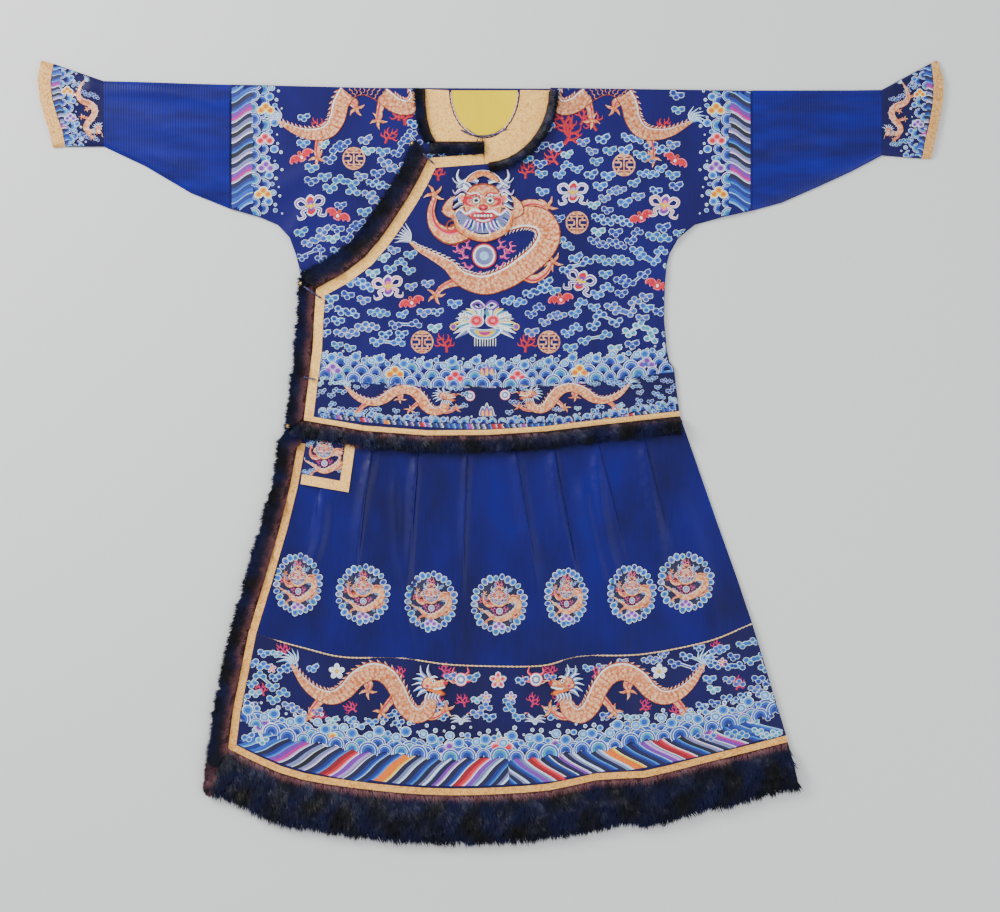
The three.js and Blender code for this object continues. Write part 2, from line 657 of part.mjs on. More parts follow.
function borderFront() {
  const columns = 34;
  const top = evenly(columns).map((share) => {
    const x = mix(seamLeft.x, seamRight.x, share);
    return { x, y: along(borderSeam, 'x', 'y', x) };
  });
  const bottom = top.map((_, j) => {
    const x = mix(skirtSides[7].left, skirtSides[7].right, j / columns);
    return { x, y: along(hemEdge, 'x', 'y', x) + 2 * seam };
  });
  const plan = planBetween(top, bottom, 4).map((column, j) =>
    column.map((p) => (j === 0 ? { x: along(skirtSides, 'y', 'left', p.y), y: p.y } : p)),
  );
  piece('border_front', clothOver(plan, skirtFloor, wall), navySilk);

  const path = new THREE.CatmullRomCurve3(
    borderSeam.map((p) => point(p.x, p.y, skirtFloor(p.x, p.y) + wall + 1.3 + 2 * seam)),
  );
  piece('border_cord', cordAlong(path, 1.3, 50), brocade);
}

function sidePatch() {
  const { left, right, drop, lean, trim, lift } = patch;
  const at = (across, down) => {
    const x = mix(left, right, across);
    return { x: x + lean * down, y: along(underWaistFur, 'x', 'y', x) - seam - drop * down };
  };
  const floor = (x, y) => skirtFloor(x, y) + pleatWall + seam + lift * ease((x + 372) / 30);
  const acrossTrim = trim / (right - left);
  const downTrim = trim / drop;
  const gapAcross = seam / (right - left);
  const gapDown = seam / drop;
  const area = (a0, a1, d0, d1, columns, rows) =>
    evenly(rows).map((i) => evenly(columns).map((j) => at(mix(a0, a1, j), mix(d0, d1, i))));
  const ground = area(0, 1 - acrossTrim, 0, 1 - downTrim, 6, 4);
  piece('side_patch', clothOver(ground, floor, wall), navySilk);
  const trimLeft = area(1 - acrossTrim + gapAcross, 1, 0, 1 - downTrim, 1, 4);
  piece('side_patch_trim_left', clothOver(trimLeft, floor, wall), brocade);
  const trimHem = area(0, 1, 1 - downTrim + gapDown, 1, 7, 1);
  piece('side_patch_trim_hem', clothOver(trimHem, floor, wall), brocade);
}

function trims() {
  trimAlong('collar_trim', trimInner, trimOuter, corner.collar, corner.overlap, overlapFloor);
  trimAlong('overlap_trim', trimInner, trimOuter, corner.overlap, corner.armpit, overlapFloor);
  trimAlong('side_trim', trimInner, trimOuter, corner.armpit, corner.waist, overlapFloor);
  trimAlong('waist_trim', trimInner, trimOuter, corner.waist, corner.side, overlapFloor);
  trimAlong('skirt_side_trim', skirtTrimInner, skirtTrimOuter, 0, hemCorner, skirtFloor);
  trimAlong('hem_trim', skirtTrimInner, skirtTrimOuter, hemCorner, skirtEnd, skirtFloor);
}

function furs() {
  const onFloor = () => 0;
  const onInner = (x, y) => innerFloor(x, y) + level + trimRise;
  const shifted = (path, dx, dy) => path.map((p) => ({ x: p.x + dx, y: p.y + dy }));
  const collarSide = innerCollarEdge.slice(0, 5);
  const sideFrom = shifted(collarSide, 4, 0);
  const sideTo = shifted(collarSide, -12, 0);
  furAlong('collar_fur_side', sideFrom, sideTo, collarFur.height, onInner);
  const collarBottom = innerCollarEdge[4].y - 1;
  const level6 = evenly(6).map((t) => ({ x: mix(-118, neck.x - 2, t), y: collarBottom }));
  furAlong('collar_fur_front', level6, shifted(level6, 0, -18), collarFur.height + 1, onInner);
  const ring = (inset) => roundNeck(collar.halfWidth + inset, collar.depth + inset, 0.02, 1.5, 10);
  const onOuter = (x, y) => overlapFloor(x, y) + level + trimRise;
  furAlong('collar_fur_outer', ring(-3), ring(collarFur.width), collarFur.height, onOuter);

  const edgeFur = (name, from, to, { height }, floor) =>
    furAlong(name, stretch(furInner, from, to), stretch(furOuter, from, to), height, floor);
  edgeFur('overlap_fur', corner.overlap, corner.armpit, overlapFur, (x, y) => innerFloor(x, y) + level);
  edgeFur('side_fur', corner.armpit, corner.waist, sideFur, onFloor);
  const overPleats = 2 * pleatLevel + pleatWall + 2 * seam;
  edgeFur('waist_fur', corner.waist, corner.side, waistFur, (x, y) => skirtFloor(x, y) + overPleats);

  const skirtPart = (name, from, to, { height }) =>
    furAlong(name, stretch(skirtFurInner, from, to), stretch(skirtFurOuter, from, to), height, onFloor);
  skirtPart('skirt_side_fur', 0, hemCorner, skirtFur);
  skirtPart('hem_fur', hemCorner, skirtEnd, hemFur);
}

// A sleeve or cuff pressed flat: columns of {x, y} across it from the lower fold up, one for each
// station.
function flattened(columns) {
  const inside = level + seam; // height of the hollow's roof above the floor
  const ring = (column, inset) => {
    const last = column.length - 1;
    const puff = (j) => 1.6 * Math.sin((Math.PI * j) / last) + 0.9;
    const shifted = (j) => {
      const toward = j === 0 ? 1 : -1;
      const edge = j === 0 || j === last;
      const next = column[j + toward] ?? column[j - 1];
      const length = Math.hypot(next.x - column[j].x, next.y - column[j].y);
      const move = edge ? inset / length : 0;
      return { x: mix(column[j].x, next.x, move), y: mix(column[j].y, next.y, move) };
    };
    const middleZ = (inside + wall) / 2 + 0.45;
    const lowFold = shifted(0);
    const highFold = shifted(last);
    const points = [point(lowFold.x, lowFold.y, middleZ)];
    for (let j = 1; j < last; j++) points.push(point(column[j].x, column[j].y, inset));
    points.push(point(highFold.x, highFold.y, middleZ));
    for (let j = last - 1; j > 0; j--) {
      points.push(point(column[j].x, column[j].y, inside + wall + puff(j) - inset));
    }
    return points;
  };
  return tubeBetween(
    columns.map((column) => ring(column, 0)),
    columns.map((column) => ring(column, wall)),
  );
}

function sleeves() {
  const shares = [0, 0.04, 0.2, 0.4, 0.6, 0.8, 0.96, 1];
  [
    ['right', rightSleeve, rightCuff, -1],
    ['left', leftSleeve, leftCuff, 1],
  ].forEach(([side, rows, cuff, out]) => {
    const stations = finer(rows.map((row) => ({ x: row.x, y: 0 })), 50);
    const sleeve = stations.map(({ x }, i) => {
      const end = i === 0 ? out * seam : i === stations.length - 1 ? -out * seam : 0;
      const by = rows.map((row) => ({ ...row, out: Math.abs(row.x) }));
      const lowY = along(by, 'out', 'lowY', Math.abs(x));
      const highY = along(by, 'out', 'highY', Math.abs(x));
      return shares.map((s) => ({ x: x + end, y: mix(lowY, highY, s) }));
    });
    piece(`${side}_sleeve`, flattened(sleeve), ribbedSilk);

    const across = (name, s) => {
      const place = clamp(s * (cuff.length - 1), 0, cuff.length - 1.0001);
      const i = Math.floor(place);
      return {
        x: mix(cuff[i][name][0], cuff[i + 1][name][0], place - i),
        y: mix(cuff[i][name][1], cuff[i + 1][name][1], place - i),
      };
    };
    const cuffStation = (from, to, t, nudge) =>
      shares.map((s) => {
        const a = across(from, s);
        const b = across(to, s);
        return { x: mix(a.x, b.x, t) + nudge, y: mix(a.y, b.y, t) };
      });
    const body = [0, 0.33, 0.67, 1].map((t) => cuffStation('seam', 'trim', t, 0));
    piece(`${side}_cuff`, flattened(body), navySilk);
    const trim = [0, 1].map((t) => cuffStation('trim', 'edge', t, t === 0 ? out * seam : 0));
    piece(`${side}_cuff_trim`, flattened(trim), brocade);
  });
}

// Ball buttons, each with the cord loop that holds it, laid over the fur.
function fastenings() {
  const ball = (name, x, y, z, radius = 5) => {
    const mesh = piece(name, new THREE.SphereGeometry(radius, 10, 8), brass);
    mesh.position.set(x, y, z);
  };
  const loop = (name, points, radius = 1.8) => {
    const path = new THREE.CatmullRomCurve3(points.map(([x, y, z]) => point(x, y, z)));
    piece(name, cordAlong(path, radius, 10), cord);
  };
  ball('collar_button', -21, 593, 14.9);
  ball('overlap_button', -150, 587, 10.3);
  ball('armpit_button', -363, 319, 9.1);
  ball('waist_button', -388, 46, 10.4);
  loop('overlap_loop', [
    [-145, 582.5, 9.5],
    [-140.5, 577.5, 17.5],
    [-131, 568, 21.5],
    [-121, 558.5, 19],
    [-110, 549, 10],
  ]);
  loop('armpit_loop', [
    [-358, 313, 17],
    [-349, 307, 21.5],
    [-339, 300, 18.5],
    [-331, 294.5, 13],
    [-325, 291, 10.2],
  ]);
  loop('waist_loop', [
    [-358, 140, 16.5],
    [-350, 137.5, 15.8],
    [-341, 136, 11.6],
    [-336, 135.5, 10.7],
  ]);
}

backPanels();
bodiceFronts();
collars();
skirtFront();
borderFront();
sidePatch();
trims();
furs();
sleeves();
fastenings();

export default robe;
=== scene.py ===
import math
import random

import bmesh
import bpy
import numpy as np
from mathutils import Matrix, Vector
from mathutils.bvhtree import BVHTree


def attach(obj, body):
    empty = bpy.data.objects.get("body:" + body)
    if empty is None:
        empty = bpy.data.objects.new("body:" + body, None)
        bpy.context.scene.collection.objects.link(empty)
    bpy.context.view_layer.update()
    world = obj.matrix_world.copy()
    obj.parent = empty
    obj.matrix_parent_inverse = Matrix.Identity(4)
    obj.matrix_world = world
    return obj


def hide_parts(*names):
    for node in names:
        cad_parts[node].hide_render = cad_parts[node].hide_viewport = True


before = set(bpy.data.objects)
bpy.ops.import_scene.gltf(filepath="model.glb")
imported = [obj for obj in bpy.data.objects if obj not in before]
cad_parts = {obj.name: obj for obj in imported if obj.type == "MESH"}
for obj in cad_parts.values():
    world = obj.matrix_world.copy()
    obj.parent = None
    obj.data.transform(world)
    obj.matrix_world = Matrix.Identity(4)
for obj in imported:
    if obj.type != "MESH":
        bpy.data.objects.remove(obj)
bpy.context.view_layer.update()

# Tables are in millimetres: x to the left sleeve, y to the collar, z up from the surface.
mm = 0.001
dice = random.Random(18)
grain = np.random.default_rng(18)

# Straight above the robe, which fills the frame as it lies
camera = {"lens": 100, "sensor": 36, "height": 5.333, "x": 0.0173, "y": -0.0115}
lens = bpy.data.cameras.new("camera")
lens.lens = camera["lens"]
lens.sensor_width = camera["sensor"]
cameraObject = bpy.data.objects.new("camera", lens)
cameraObject.location = (camera["x"], camera["y"], camera["height"])
bpy.context.scene.collection.objects.link(cameraObject)
bpy.context.scene.camera = cameraObject


def toLinear(hexColour):
    values = [int(hexColour[i:i + 2], 16) / 255 for i in (1, 3, 5)]
    return [v / 12.92 if v <= 0.04045 else ((v + 0.055) / 1.055) ** 2.4 for v in values] + [1.0]


# Links join an input to another node's output.
def join(tree, node, links):
    for name, (source, output) in links.items():
        tree.links.new(source.outputs[output], node.inputs[name])


# Settings are the node's own fields, its inputs or a ramp's stops.
def addNode(tree, kind, settings, links=None):
    node = tree.nodes.new("ShaderNode" + kind)
    for name, value in settings.items():
        if name == "stops":
            elements = node.color_ramp.elements
            while len(elements) < len(value):
                elements.new(0.5)
            for element, (place, hexColour) in zip(elements, value):
                element.position, element.color = place, toLinear(hexColour)
        elif isinstance(name, str) and name not in node.inputs:
            setattr(node, name, value)
        else:
            node.inputs[name].default_value = value
    join(tree, node, links or {})
    return node


# Every pattern is placed by object coordinates in metres.
def newMaterial(name, sheen=None, **shaderValues):
    material = bpy.data.materials.new(name)
    material.use_nodes = True
    tree = material.node_tree
    shader = tree.nodes["Principled BSDF"]
    for socket, value in shaderValues.items():
        shader.inputs[socket.replace("_", " ")].default_value = value
    if sheen:
        shader.inputs["Sheen Tint"].default_value = toLinear(sheen)
    return material, tree, shader, addNode(tree, "TexCoord", {})


# Silk satin, woven with long floats: a soft sheen, a faint warp line and slow shifts of depth.
def silkSatin(name, deep, bright, roughness=0.42, shine=0.25):
    material, tree, shader, place = newMaterial(name, bright, Roughness=roughness, Sheen_Weight=0.06,
                                                Sheen_Roughness=0.4, Specular_IOR_Level=shine)
    drift = addNode(tree, "Mapping", {"Scale": (1, 0.6, 1)}, {"Vector": (place, "Object")})
    cloudy = addNode(tree, "TexNoise", {"Scale": 7.0, "Detail": 5.0, "Roughness": 0.55},
                     {"Vector": (drift, "Vector")})
    # real threads are 0.1 mm apart, too fine to show, so they are drawn 1.6 mm apart
    warp = addNode(tree, "Mapping", {"Scale": (620, 26, 40)}, {"Vector": (place, "Object")})
    threads = addNode(tree, "TexNoise", {"Scale": 1.0, "Detail": 3.0}, {"Vector": (warp, "Vector")})
    blend = addNode(tree, "Math", {"operation": "MULTIPLY_ADD", 1: 0.35},
                    {0: (threads, "Fac"), 2: (cloudy, "Fac")})
    ramp = addNode(tree, "ValToRGB", {"stops": [(0.35, deep), (1.0, bright)]}, {"Fac": (blend, "Value")})
    relief = addNode(tree, "Bump", {"Strength": 0.25, "Distance": 0.0006}, {"Height": (threads, "Fac")})
    join(tree, shader, {"Base Color": (ramp, "Color"), "Normal": (relief, "Normal")})
    return material


# Ribbed silk of the plain sleeves: fine upright ribs with watery darker bands between them.
def ribbedSilk(name, deep, bright):
    material, tree, shader, place = newMaterial(name, bright, Roughness=0.42, Sheen_Weight=0.05,
                                                Specular_IOR_Level=0.28)
    # ribs 5 mm apart
    upright = addNode(tree, "Mapping", {"Scale": (1, 0.12, 1)}, {"Vector": (place, "Object")})
    ribs = addNode(tree, "TexWave", {"Scale": 63.0, "Distortion": 1.2, "Detail": 2.0, "Detail Scale": 1.5},
                   {"Vector": (upright, "Vector")})
    level = addNode(tree, "Mapping", {"Scale": (9, 34, 9)}, {"Vector": (place, "Object")})
    bands = addNode(tree, "TexNoise", {"Scale": 1.0, "Detail": 4.0}, {"Vector": (level, "Vector")})
    both = addNode(tree, "Math", {"operation": "MULTIPLY_ADD", 1: 0.22}, {0: (ribs, "Fac"), 2: (bands, "Fac")})
    ramp = addNode(tree, "ValToRGB", {"stops": [(0.3, deep), (1.0, bright)]}, {"Fac": (both, "Value")})
    relief = addNode(tree, "Bump", {"Strength": 0.35, "Distance": 0.0005}, {"Height": (ribs, "Fac")})
    join(tree, shader, {"Base Color": (ramp, "Color"), "Normal": (relief, "Normal")})
    return material


# Brocade woven with gilt paper strips: pale scrolls on a duller ground, crossed by ribs of thread.
def goldBrocade(name, dark, middle, light):
    material, tree, shader, place = newMaterial(name, Roughness=0.5, Metallic=0.25, Specular_IOR_Level=0.45)
    aslant = addNode(tree, "Mapping", {"Rotation": (0, 0, 0.6)}, {"Vector": (place, "Object")})
    scrolls = addNode(tree, "TexVoronoi", {"feature": "DISTANCE_TO_EDGE", "Scale": 300.0},
                      {"Vector": (aslant, "Vector")})
    wander = addNode(tree, "TexNoise", {"Scale": 170.0, "Detail": 6.0, "Roughness": 0.7},
                     {"Vector": (place, "Object")})
    both = addNode(tree, "Math", {"operation": "MULTIPLY_ADD", 1: 0.9},
                   {0: (scrolls, "Distance"), 2: (wander, "Fac")})
    ramp = addNode(tree, "ValToRGB", {"stops": [(0.3, dark), (0.52, middle), (0.78, light)]},
                   {"Fac": (both, "Value")})
    # gilt strips lie 0.4 mm apart, drawn 1.3 mm apart so that they show
    across = addNode(tree, "Mapping", {"Rotation": (0, 0, 0.78)}, {"Vector": (place, "Object")})
    strips = addNode(tree, "TexWave", {"Scale": 120.0, "Distortion": 2.0, "Detail": 2.0},
                     {"Vector": (across, "Vector")})
    height = addNode(tree, "Math", {"operation": "ADD"}, {0: (strips, "Fac"), 1: (both, "Value")})
    relief = addNode(tree, "Bump", {"Strength": 0.55, "Distance": 0.0009}, {"Height": (height, "Value")})
    join(tree, shader, {"Base Color": (ramp, "Color"), "Normal": (relief, "Normal")})
    return material


# Floss silk in satin stitch: each motif's own dyed shades, lit along its stitches.
def stitchedSilk(name):
    material, tree, shader, place = newMaterial(name, Roughness=0.48, Sheen_Weight=0.3, Specular_IOR_Level=0.35)
    shade = addNode(tree, "VertexColor", {"layer_name": "shade"})
    run = addNode(tree, "Attribute", {"attribute_name": "stitch"})
    # stitches 0.3 mm wide, drawn 1.2 mm wide
    along = addNode(tree, "Math", {"operation": "MULTIPLY", 1: 5.2}, {0: (run, "Fac")})
    stitches = addNode(tree, "Math", {"operation": "SINE"}, {0: (along, "Value")})
    fleck = addNode(tree, "TexNoise", {"Scale": 420.0, "Detail": 2.0}, {"Vector": (place, "Object")})
    value = addNode(tree, "MapRange", {"From Min": 0.3, "From Max": 0.7, "To Min": 0.78, "To Max": 1.22},
                    {"Value": (fleck, "Fac")})
    tone = addNode(tree, "HueSaturation", {}, {"Color": (shade, "Color"), "Value": (value, "Result")})
    relief = addNode(tree, "Bump", {"Strength": 0.35, "Distance": 0.0005}, {"Height": (stitches, "Value")})
    join(tree, shader, {"Base Color": (tone, "Color"), "Normal": (relief, "Normal")})
    return material


# Gilt thread couched down in coils with red silk: a peach-gold field flecked with orange.
def couchedGold(name, dull, bright):
    material, tree, shader, place = newMaterial(name, Roughness=0.45, Metallic=0.3)
    shade = addNode(tree, "VertexColor", {"layer_name": "shade"})
    coils = addNode(tree, "TexVoronoi", {"Scale": 190.0}, {"Vector": (place, "Object")})
    fleck = addNode(tree, "ValToRGB", {"stops": [(0.25, bright), (0.75, dull)]}, {"Fac": (coils, "Distance")})
    mixed = addNode(tree, "Mix", {"data_type": "RGBA", "blend_type": "MULTIPLY", "Factor": 1.0},
                    {"A": (shade, "Color"), "B": (fleck, "Color")})
    relief = addNode(tree, "Bump", {"Strength": 0.6, "Distance": 0.0008}, {"Height": (coils, "Distance")})
    join(tree, shader, {"Base Color": (mixed, 2), "Normal": (relief, "Normal")})
    return material


# Dyed fur: nearly black with a blue cast, brown at the roots by the gold band; its colours also carry a painted
# blue sheen.
def furHair(name):
    material, tree, shader, _ = newMaterial(name, "#4a5fb0", Roughness=0.5, Sheen_Weight=0.04,
                                            Specular_IOR_Level=0.22)
    shade = addNode(tree, "VertexColor", {"layer_name": "shade"})
    join(tree, shader, {"Base Color": (shade, "Color")})
    return material


# Plied silk cord: its colour mixed in patches by noise with a lighter one, a painted glint on the navy and gold
# cords and the white thread of the pink and white cord.
def twistedCord(name, hexColour, paleThreadAndGlint):
    material, tree, shader, place = newMaterial(name, Roughness=0.45, Specular_IOR_Level=0.5)
    noise = addNode(tree, "TexNoise", {"Scale": 500.0, "Detail": 2.0}, {"Vector": (place, "Object")})
    # the lighter stop: painted glint on the navy and gold cords, white thread on the pink and white cord
    ramp = addNode(tree, "ValToRGB", {"stops": [(0.35, hexColour), (0.7, paleThreadAndGlint)]}, {"Fac": (noise, "Fac")})
    join(tree, shader, {"Base Color": (ramp, "Color")})
    return material


# Cast brass, fire-gilt and rubbed: warm, with darker hollows.
def giltBrass(name):
    material, tree, shader, place = newMaterial(name, Roughness=0.28, Metallic=1.0)
    wear = addNode(tree, "TexNoise", {"Scale": 260.0, "Detail": 3.0}, {"Vector": (place, "Object")})
    ramp = addNode(tree, "ValToRGB", {"stops": [(0.35, "#9a6a2a"), (0.65, "#f0c878")]}, {"Fac": (wear, "Fac")})
    join(tree, shader, {"Base Color": (ramp, "Color")})
    return material


# Each finish, and the colour slot of the pieces made of it.
finishes = {
    "navy satin": ("navy_silk", silkSatin("navy silk satin", "#09053c", "#160e6c")),
    "night satin": ("navy_silk", silkSatin("night-blue silk satin", "#08052e", "#120c58")),
    "royal satin": ("blue_satin", silkSatin("royal blue silk satin", "#010026", "#040274")),
    "ribbed silk": ("ribbed_silk", ribbedSilk("ribbed blue silk", "#010140", "#05068c")),
    "yellow silk": ("yellow_silk", silkSatin("yellow silk lining", "#e2bc00", "#f8da00", 0.85, 0.03)),
    "cuff brocade": ("gold_brocade", goldBrocade("rubbed gold brocade", "#7c4c1c", "#c88c44", "#eabc74")),
    "pale brocade": ("gold_brocade", goldBrocade("pale gold brocade", "#ac6c20", "#f2ae50", "#ffd67e")),
    "deep brocade": ("gold_brocade", goldBrocade("deep gold brocade", "#8c4a14", "#dc9438", "#f6c470")),
    "floss silk": ("navy_silk", stitchedSilk("floss silk stitching")),
    "gold thread": ("gold_brocade", couchedGold("couched gold thread", "#dc9c78", "#fffaf0")),
    "fur": ("dark_fur", furHair("dyed fur")),
    "dark cord": ("dark_cord", twistedCord("navy silk cord", "#14123a", "#5a558e")),
    "pale cord": ("pale_cord", twistedCord("pink and white silk cord", "#c98a86", "#f6ecdf")),
    "gold cord": ("pale_cord", twistedCord("gold cord", "#d89a50", "#fff0c4")),
    "gilt brass": ("gilt_button", giltBrass("gilt brass")),
}
print("materials made")


def addPiece(name, mesh, finish):
    slot, material = finishes[finish]
    piece = bpy.data.objects.new(name, mesh)
    bpy.context.scene.collection.objects.link(piece)
    mesh.materials.append(material)
    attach(piece, "root")
    return piece


# Soft creases of the cloth as it lies, in the upper layers: from, to, half width and height.
creases = [
    ((-470, 690), (-250, 500), 26, 3.5), ((-440, 480), (-260, 560), 20, 3.0), ((-390, 400), (-300, 520), 18, 3.2),
    ((470, 470), (300, 560), 22, 3.5), ((380, 400), (250, 500), 24, 3.2), ((345, 330), (190, 400), 18, 2.4),
    ((150, 640), (120, 300), 34, 2.2), ((-60, 480), (-90, 160), 30, 1.9), ((290, 300), (270, 80), 26, 2.7),
    ((-230, 260), (-215, 60), 24, 2.4), ((60, 260), (75, 70), 26, 1.6), ((-322, -95), (-352, -240), 11, 7.4),
    ((-226, -10), (-258, -215), 10, 7.0), ((-143, -15), (-162, -300), 9, 7.7),
    ((-184, -60), (-152, -360), 8, 5.6), ((-45, -5), (-52, -243), 8, 5.2), ((46, 0), (88, -234), 11, 7.4),
    ((118, 0), (160, -225), 10, 7.0), ((172, -67), (226, -290), 14, 8.0), ((202, 0), (258, -290), 10, 6.3),
    ((290, 10), (324, -190), 11, 7.0), ((345, -60), (430, -330), 22, 4.5), ((-395, -180), (-425, -330), 20, 3.0),
    ((-300, -300), (-330, -560), 30, 3.2), ((-90, -330), (-100, -620), 34, 3.5),
    ((60, -320), (85, -620), 30, 3.0), ((225, -330), (262, -600), 28, 3.8), ((400, -340), (455, -560), 26, 3.2),
]
sleeveCreases = [
    ((-505, 660), (-730, 690), 12, 3.5), ((-505, 560), (-690, 640), 20, 3.2), ((-520, 500), (-660, 575), 14, 2.7),
    ((505, 650), (735, 672), 14, 3.2), ((505, 570), (700, 620), 18, 3.8), ((515, 490), (690, 560), 14, 2.7),
    ((-760, 700), (-835, 640), 14, 2.4), ((765, 690), (840, 630), 14, 2.4),
]


# Plan points turned about the origin, by one angle or one each.
def turnedBy(points, angle):
    cos, sin = np.cos(angle), np.sin(angle)
    return np.column_stack([points[:, 0] * cos - points[:, 1] * sin, points[:, 0] * sin + points[:, 1] * cos])


# Height in mm of the soft ridges at plan points in mm: round across, fading at both ends.
def creaseHeight(x, y, table):
    height = np.zeros_like(x)
    for (x0, y0), (x1, y1), width, tall in table:
        length = math.hypot(x1 - x0, y1 - y0)
        ux, uy = (x1 - x0) / length, (y1 - y0) / length
        run = ((x - x0) * ux + (y - y0) * uy) / length
        across = (x - x0) * -uy + (y - y0) * ux
        bend = 0.12 * length * np.sin(math.pi * np.clip(run, 0, 1)) * (0.5 - (x0 % 7) / 7)
        fade = np.clip(run * 5 + 0.5, 0, 1) * np.clip((1.25 - run) * 1.6, 0, 1)
        height += tall * fade * np.exp(-(((across - bend) / width) ** 2))
    return height


# Distances in metres and least area in square metres that keep slivers out of the meshes.
meshing = {"weld": 0.00003, "sliver": 0.0002, "rounds": 6, "leastFace": 1e-8}


# The node's solid with every edge split down to the longest allowed, in mm.
def fineMesh(node, longest):
    shape = bmesh.new()
    shape.from_mesh(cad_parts[node].data)
    bmesh.ops.remove_doubles(shape, verts=shape.verts, dist=meshing["weld"])
    bmesh.ops.dissolve_degenerate(shape, dist=meshing["sliver"], edges=shape.edges)
    bmesh.ops.triangulate(shape, faces=shape.faces)
    for _ in range(meshing["rounds"]):
        tooLong = [e for e in shape.edges if e.calc_length() > longest * mm
                   and max(f.calc_area() for f in e.link_faces) > meshing["leastFace"]]
        if not tooLong:
            break
        bmesh.ops.subdivide_edges(shape, edges=tooLong, cuts=1)
        bmesh.ops.triangulate(shape, faces=[f for f in shape.faces if len(f.verts) > 3])
    return shape


sharpFold = 0.9  # radians, past which an edge is creased


def meshOf(shape, name):
    for edge in shape.edges:
        edge.smooth = edge.calc_face_angle(0.0) < sharpFold
    for face in shape.faces:
        face.smooth = True
    mesh = bpy.data.meshes.new(name)
    shape.to_mesh(mesh)
    shape.free()
    return mesh


surfaces = []  # fine panels that the embroidery is stitched to


# A thin shell on the node's form, creased as the cloth lies.
def clothPiece(node, cloth):
    shape = fineMesh(node, cloth.get("grid", 11))
    table = cloth.get("creases", creases)
    if table:
        points = np.array([v.co[:] for v in shape.verts])
        raised = creaseHeight(points[:, 0] / mm, points[:, 1] / mm, table)
        raised[points[:, 2] < cloth.get("above", -1) * mm] = 0
        for vertex, height in zip(shape.verts, raised):
            vertex.co.z += height * mm
    piece = addPiece(node + "_cloth", meshOf(shape, node), cloth["finish"])
    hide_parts(node)
    width, length, area = cloth["cut"]
    [n + "_cloth" for n in cloth["on"]]
    piece.modifiers.new("even light", "WEIGHTED_NORMAL").keep_sharp = True
    if cloth.get("stitched"):
        surfaces.append(piece)
    return piece


# Each panel: its finish, the cut in metres and square metres, and what it lies on.
beneath = {"creases": None, "grid": 30}
onArms = {"creases": sleeveCreases, "above": 2.6}
panels = {
    "back_bodice": {"finish": "navy satin", "cut": (1.0, 0.64, 0.52), "on": [], **beneath},
    "back_skirt": {"finish": "royal satin", "cut": (0.97, 0.48, 0.383), "on": [], **beneath},
    "back_border": {"finish": "night satin", "cut": (1.07, 0.32, 0.25), "on": [], **beneath},
    "neck_lining": {"finish": "yellow silk", "cut": (0.127, 0.087, 0.0086), "on": ["back_bodice"], "grid": 6},
    "inner_front": {"finish": "navy satin", "cut": (0.5, 0.56, 0.221), "on": ["back_bodice"], "stitched": True},
    "outer_front": {"finish": "navy satin", "cut": (0.84, 0.58, 0.319),
                    "on": ["back_bodice", "inner_front"], "stitched": True},
    "waistband": {"finish": "night satin", "cut": (0.7, 0.085, 0.055), "on": ["back_bodice"], "stitched": True},
    "skirt_front": {"finish": "royal satin", "cut": (1.0, 0.45, 0.38),
                    "on": ["back_skirt"], "grid": 13, "stitched": True},
    "border_front": {"finish": "night satin", "cut": (1.06, 0.26, 0.232), "on": ["back_border"], "stitched": True},
    "right_sleeve": {"finish": "ribbed silk", "cut": (0.5, 0.245, 0.086), "on": [], **onArms, "stitched": True},
    "left_sleeve": {"finish": "ribbed silk", "cut": (0.48, 0.25, 0.088), "on": [], **onArms, "stitched": True},
    "right_cuff": {"finish": "night satin", "cut": (0.32, 0.1, 0.025), "on": [],
                   **onArms, "stitched": True, "grid": 8},
    "left_cuff": {"finish": "night satin", "cut": (0.36, 0.1, 0.027), "on": [],
                  **onArms, "stitched": True, "grid": 8},
    "right_cuff_trim": {"finish": "cuff brocade", "cut": (0.38, 0.028, 0.0078), "on": [], **onArms, "grid": 7},
    "left_cuff_trim": {"finish": "cuff brocade", "cut": (0.38, 0.028, 0.0066), "on": [], **onArms, "grid": 7},
    "inner_collar": {"finish": "pale brocade", "cut": (0.16, 0.052, 0.0061), "on": ["back_bodice"], "grid": 6},
    "outer_collar": {"finish": "pale brocade", "cut": (0.16, 0.065, 0.009), "on": ["back_bodice"], "grid": 6},
    "collar_trim": {"finish": "pale brocade", "cut": (0.1, 0.02, 0.002), "on": ["inner_front"], "grid": 6},
    "overlap_trim": {"finish": "pale brocade", "cut": (0.34, 0.02, 0.0066), "on": ["inner_front"], "grid": 6},
    "side_trim": {"finish": "pale brocade", "cut": (0.24, 0.018, 0.0043), "on": ["back_bodice"], "grid": 6},
    "waist_trim": {"finish": "pale brocade", "cut": (0.71, 0.01, 0.0069), "on": ["back_bodice"], "grid": 5},
    "skirt_side_trim": {"finish": "deep brocade", "cut": (0.6, 0.015, 0.0088), "on": ["back_skirt"], "grid": 6},
    "hem_trim": {"finish": "deep brocade", "cut": (1.08, 0.013, 0.0138), "on": ["back_border"], "grid": 6},
    "side_patch": {"finish": "night satin", "cut": (0.083, 0.086, 0.0055),
                   "on": ["skirt_front"], "grid": 5, "stitched": True},
    "side_patch_trim_left": {"finish": "pale brocade", "cut": (0.076, 0.0185, 0.0011),
                             "on": ["skirt_front"], "grid": 5},
    "side_patch_trim_hem": {"finish": "pale brocade", "cut": (0.095, 0.0185, 0.0014),
                            "on": ["skirt_front"], "grid": 5},
}
for node, cloth in panels.items():
    clothPiece(node, cloth)
print("panels and brocade laid")


# Surface finder, for what is stitched or laid on the panels
def treeOf(pieces):
    points, faces = [], []
    for piece in pieces:
        start = len(points)
        points += [v.co.copy() for v in piece.data.vertices]
        faces += [[start + i for i in f.vertices] for f in piece.data.polygons]
    return BVHTree.FromPolygons(points, faces)


